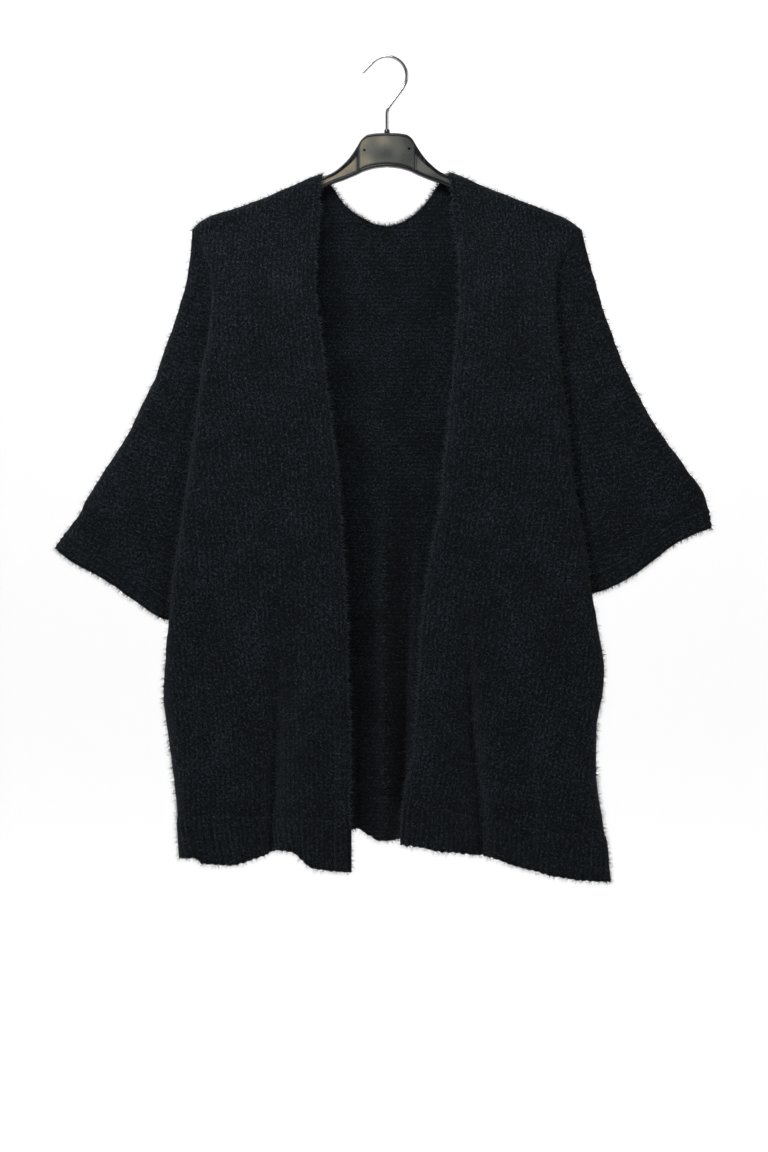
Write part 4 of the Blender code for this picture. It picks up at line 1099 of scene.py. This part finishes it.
for side in SIGN:
    main_rows = both_layers(sleeve_rows(side, -1), sleeve_rows(side, 1))
    points, joined = finer_rows(main_rows, SLEEVE_ROW_SIZE, len(SLEEVE_SEAM_ROWS) + 1)
    down, round_arm = travelled(points, 0), travelled(points, 1)
    relief = COLUMN_RAISE * knitted_columns(down, round_arm, COLUMN_PITCH, SLEEVE_SEED)
    for height, size, seed in SLEEVE_LUMPS:
        relief += height * cloud(down, round_arm, size, SLEEVE_SEED + seed)
    from_seam = np.minimum(round_arm, round_arm[:, -1:] - round_arm)
    relief *= ease(from_seam / SLEEVE_CALM) * ease(down / SLEEVE_CALM) * 0.9 + 0.1
    normals = outward_normals(points, joined)
    half = len(ACROSS_SLEEVE)
    normals[0, :half] = ridge_normals(points[0, :half], side, -1)
    normals[0, half:] = ridge_normals(points[0, half:], side, 1)
    lap(points, SEAM_LAP)
    lap(points[:joined].swapaxes(0, 1), SEAM_LAP)
    lap(points[:joined, ::-1].swapaxes(0, 1), SEAM_LAP)
    mesh = knit_wall("sleeve_" + side, points, normals, relief, down, round_arm, joined)
    key = "sleeve_" + side
    cloth[key] = add_cloth(
        key + "_knit", mesh, key)

    points = cuff_grid(side)
    lap(points, SEAM_LAP)
    down, round_arm = travelled(points, 0), travelled(points, 1)
    relief = CUFF_RIDGE_RAISE * np.abs(np.sin(math.pi * down / CUFF_RIDGE_PITCH))
    relief += 0.4 * cloud(down, round_arm, 13.0, CUFF_SEED)
    relief *= ease(down / 3.0) * 0.8 + 0.2
    key = "cuff_" + side
    normals = outward_normals(points, 0)
    fray(points[::-1], down[::-1], round_arm[::-1], CUFF_SEED + 4, 0.6)
    mesh = knit_wall(key, points, normals, relief, down, round_arm, 0, bottom=PILE_LOWER_EDGE)
    cloth[key] = add_cloth(
        key + "_knit", mesh, key)

# ---------------------------------------------------------------- brushed fibres
# The yarn is brushed, so fine bent fibres stand off the knit all over. They are thickest
# along the free edges and the neckline, and where the cloth turns out of the flat.

FIBRE_RADIUS = 0.24        # at the root
FIBRE_LENGTH = 5.5
FIBRE_DENSITY = 26000.0    # on a square metre, where the pile is 1
FIBRE_LEAN = 0.8           # how far they lie over
FIBRE_BEND = 7.0           # how far the tip lies aside, in radii


def fibre_tree(material):
    """Scatters bent, tapering fibres over a piece of cloth, by its pile attribute."""
    tree, given = new_tree("brushed_fibres", "Cloth", {
        "Density": ("Float", FIBRE_DENSITY), "Length": ("Float", FIBRE_LENGTH * MM),
        "Radius": ("Float", FIBRE_RADIUS * MM), "Lean": ("Float", FIBRE_LEAN),
        "Seed": ("Int", 1)}, "Fibres")

    def step(kind, inputs, **settings):
        return add_node(tree, kind, inputs, **settings)

    pile = step("GeometryNodeInputNamedAttribute", {"Name": "pile"}, data_type="FLOAT").outputs[0]
    density = math_node(tree, "MULTIPLY", given["Density"], pile)
    scatter = step("GeometryNodeDistributePointsOnFaces", {
        "Mesh": given["Cloth"], "Density": density, "Seed": given["Seed"]}, distribute_method="RANDOM")
    stray = step("FunctionNodeRandomValue", {
        "Min": (-1.0, -1.0, -1.0), "Max": (1.0, 1.0, 0.6), "Seed": given["Seed"]}, data_type="FLOAT_VECTOR")
    lean = step("ShaderNodeVectorMath", {0: stray.outputs[0], "Scale": given["Lean"]}, operation="SCALE")
    aim = step("ShaderNodeVectorMath", {0: lean.outputs[0], 1: scatter.outputs["Normal"]}, operation="ADD")
    turn = step("FunctionNodeAlignRotationToVector", {"Vector": aim.outputs[0]}, axis="Z")
    spin = step("FunctionNodeRandomValue", {2: 0.0, 3: 2 * math.pi, "Seed": 7}, data_type="FLOAT")
    spun = step("FunctionNodeAxisAngleToRotation", {"Axis": (0.0, 0.0, 1.0), "Angle": spin.outputs[1]})
    rotation = step("FunctionNodeRotateRotation", {
        "Rotation": turn.outputs[0], "Rotate By": spun.outputs[0]}, rotation_space="LOCAL")
    spread = step("FunctionNodeRandomValue", {2: 0.35, 3: 1.6, "Seed": 3}, data_type="FLOAT")
    length = math_node(tree, "MULTIPLY", given["Length"], spread.outputs[1])
    size = step("ShaderNodeCombineXYZ", {0: given["Radius"], 1: given["Radius"], 2: length})
    spike = step("GeometryNodeMeshCone", {
        "Vertices": 3, "Side Segments": 2, "Fill Segments": 1, "Radius Top": 0.0,
        "Radius Bottom": 1.0, "Depth": 1.0}, fill_type="NGON")
    place = step("GeometryNodeInputPosition", {})
    height = step("ShaderNodeSeparateXYZ", {0: place.outputs[0]})
    squared = math_node(tree, "POWER", height.outputs["Z"], 2.0)
    aside = math_node(tree, "MULTIPLY", squared, FIBRE_BEND)
    shift = step("ShaderNodeCombineXYZ", {0: aside})
    bent = step("GeometryNodeSetPosition", {"Geometry": spike.outputs["Mesh"], "Offset": shift.outputs[0]})
    placed = step("GeometryNodeInstanceOnPoints", {
        "Points": scatter.outputs["Points"], "Instance": bent.outputs["Geometry"],
        "Rotation": rotation.outputs[0], "Scale": size.outputs[0]})
    finish_tree(tree, placed.outputs[0], material)
    return tree


fibre, _ = new_material("brushed_fibre", Base_Color=(0.018, 0.023, 0.029, 1.0), Roughness=0.75,
                        Specular_IOR_Level=0.2)
fibres = fibre_tree(fibre)
for seed, (key, base) in enumerate(cloth.items()):
    finished("fibres_" + key, made_by(fibres, base.data, Seed=seed + 1), fibre)

# ---------------------------------------------------------------- setting
# A pale floor that curves up into a pale wall well behind the garment. The main soft
# light stands high on the left in front and a small one nearer, with a broad faint one
# on the right and one behind, in an even pale surround.

FLOOR = -1.62
SWEEP_REACH = 9.0          # how far the floor runs to the front and to both sides
CURVE_START = 6.0
CURVE_RADIUS = 2.5
PAPER_GLOW = 0.52          # brings the paper up to white in the picture
SURROUND = 0.25
VIEW_WIDTH = 0.873         # what the picture takes in at the garment
VIEW_SHAPE = 1152 / 768
VIEW_CENTRE = (-0.0034, -0.589)
LENS = 85.0
SENSOR = 36.0
# Place of each soft light, what it points at, its width and its power.
LIGHTS = {
    "overhead_softbox": ((-1.35, -1.55, 1.35), (0.0, 0.0, -0.4), 0.6, 70.0),
    "side_softbox": ((2.4, -1.4, 0.4), (0.0, 0.0, -0.5), 1.2, 18.0),
    "near_softbox": ((-0.2, -0.8, 0.7), (0.0, 0.0, -0.2), 0.6, 20.0),
    "back_softbox": ((-0.6, 2.6, 1.6), (0.0, 0.0, -0.4), 1.2, 35.0),
}

sweep = [(-SWEEP_REACH, FLOOR), (CURVE_START, FLOOR)]
sweep += [(CURVE_START + CURVE_RADIUS * math.sin(a), FLOOR + CURVE_RADIUS * (1 - math.cos(a)))
          for a in np.radians(np.arange(6, 91, 6))]
sweep += [(CURVE_START + CURVE_RADIUS, SWEEP_REACH)]
sweep_mesh = bpy.data.meshes.new("sweep")
sweep_mesh.from_pydata(
    [(x, y, z) for y, z in sweep for x in (-SWEEP_REACH, SWEEP_REACH)], [],
    [(2 * i, 2 * i + 1, 2 * i + 3, 2 * i + 2) for i in range(len(sweep) - 1)])
sweep_mesh.shade_smooth()
backdrop = in_scene("pale_sweep", sweep_mesh)
paper, _ = new_material(
    "pale_paper", Base_Color=(0.9, 0.9, 0.9, 1.0), Roughness=0.9,
    Emission_Color=(1.0, 1.0, 1.0, 1.0), Emission_Strength=PAPER_GLOW)
sweep_mesh.materials.append(paper)

bpy.context.scene.view_settings.view_transform = "Standard"
world = bpy.data.worlds.new("pale_surround")
world.use_nodes = True
surround = world.node_tree.nodes["Background"]
surround.inputs["Color"].default_value = (1.0, 1.0, 1.0, 1.0)
surround.inputs["Strength"].default_value = SURROUND
bpy.context.scene.world = world

for name, (place, aim, width, power) in LIGHTS.items():
    light = bpy.data.lights.new(name, "AREA")
    light.shape = "DISK"
    light.size = width
    light.energy = power
    lamp = in_scene(name, light)
    lamp.location = place
    lamp.rotation_euler = (Vector(aim) - Vector(place)).to_track_quat("-Z", "Y").to_euler()

lens = bpy.data.cameras.new("camera")
lens.lens = LENS
lens.sensor_width = SENSOR
camera = in_scene("camera", lens)
view_height = VIEW_WIDTH * VIEW_SHAPE
camera.location = (VIEW_CENTRE[0], -view_height * LENS / SENSOR, VIEW_CENTRE[1])
camera.rotation_euler = (math.pi / 2, 0.0, 0.0)
bpy.context.scene.camera = camera
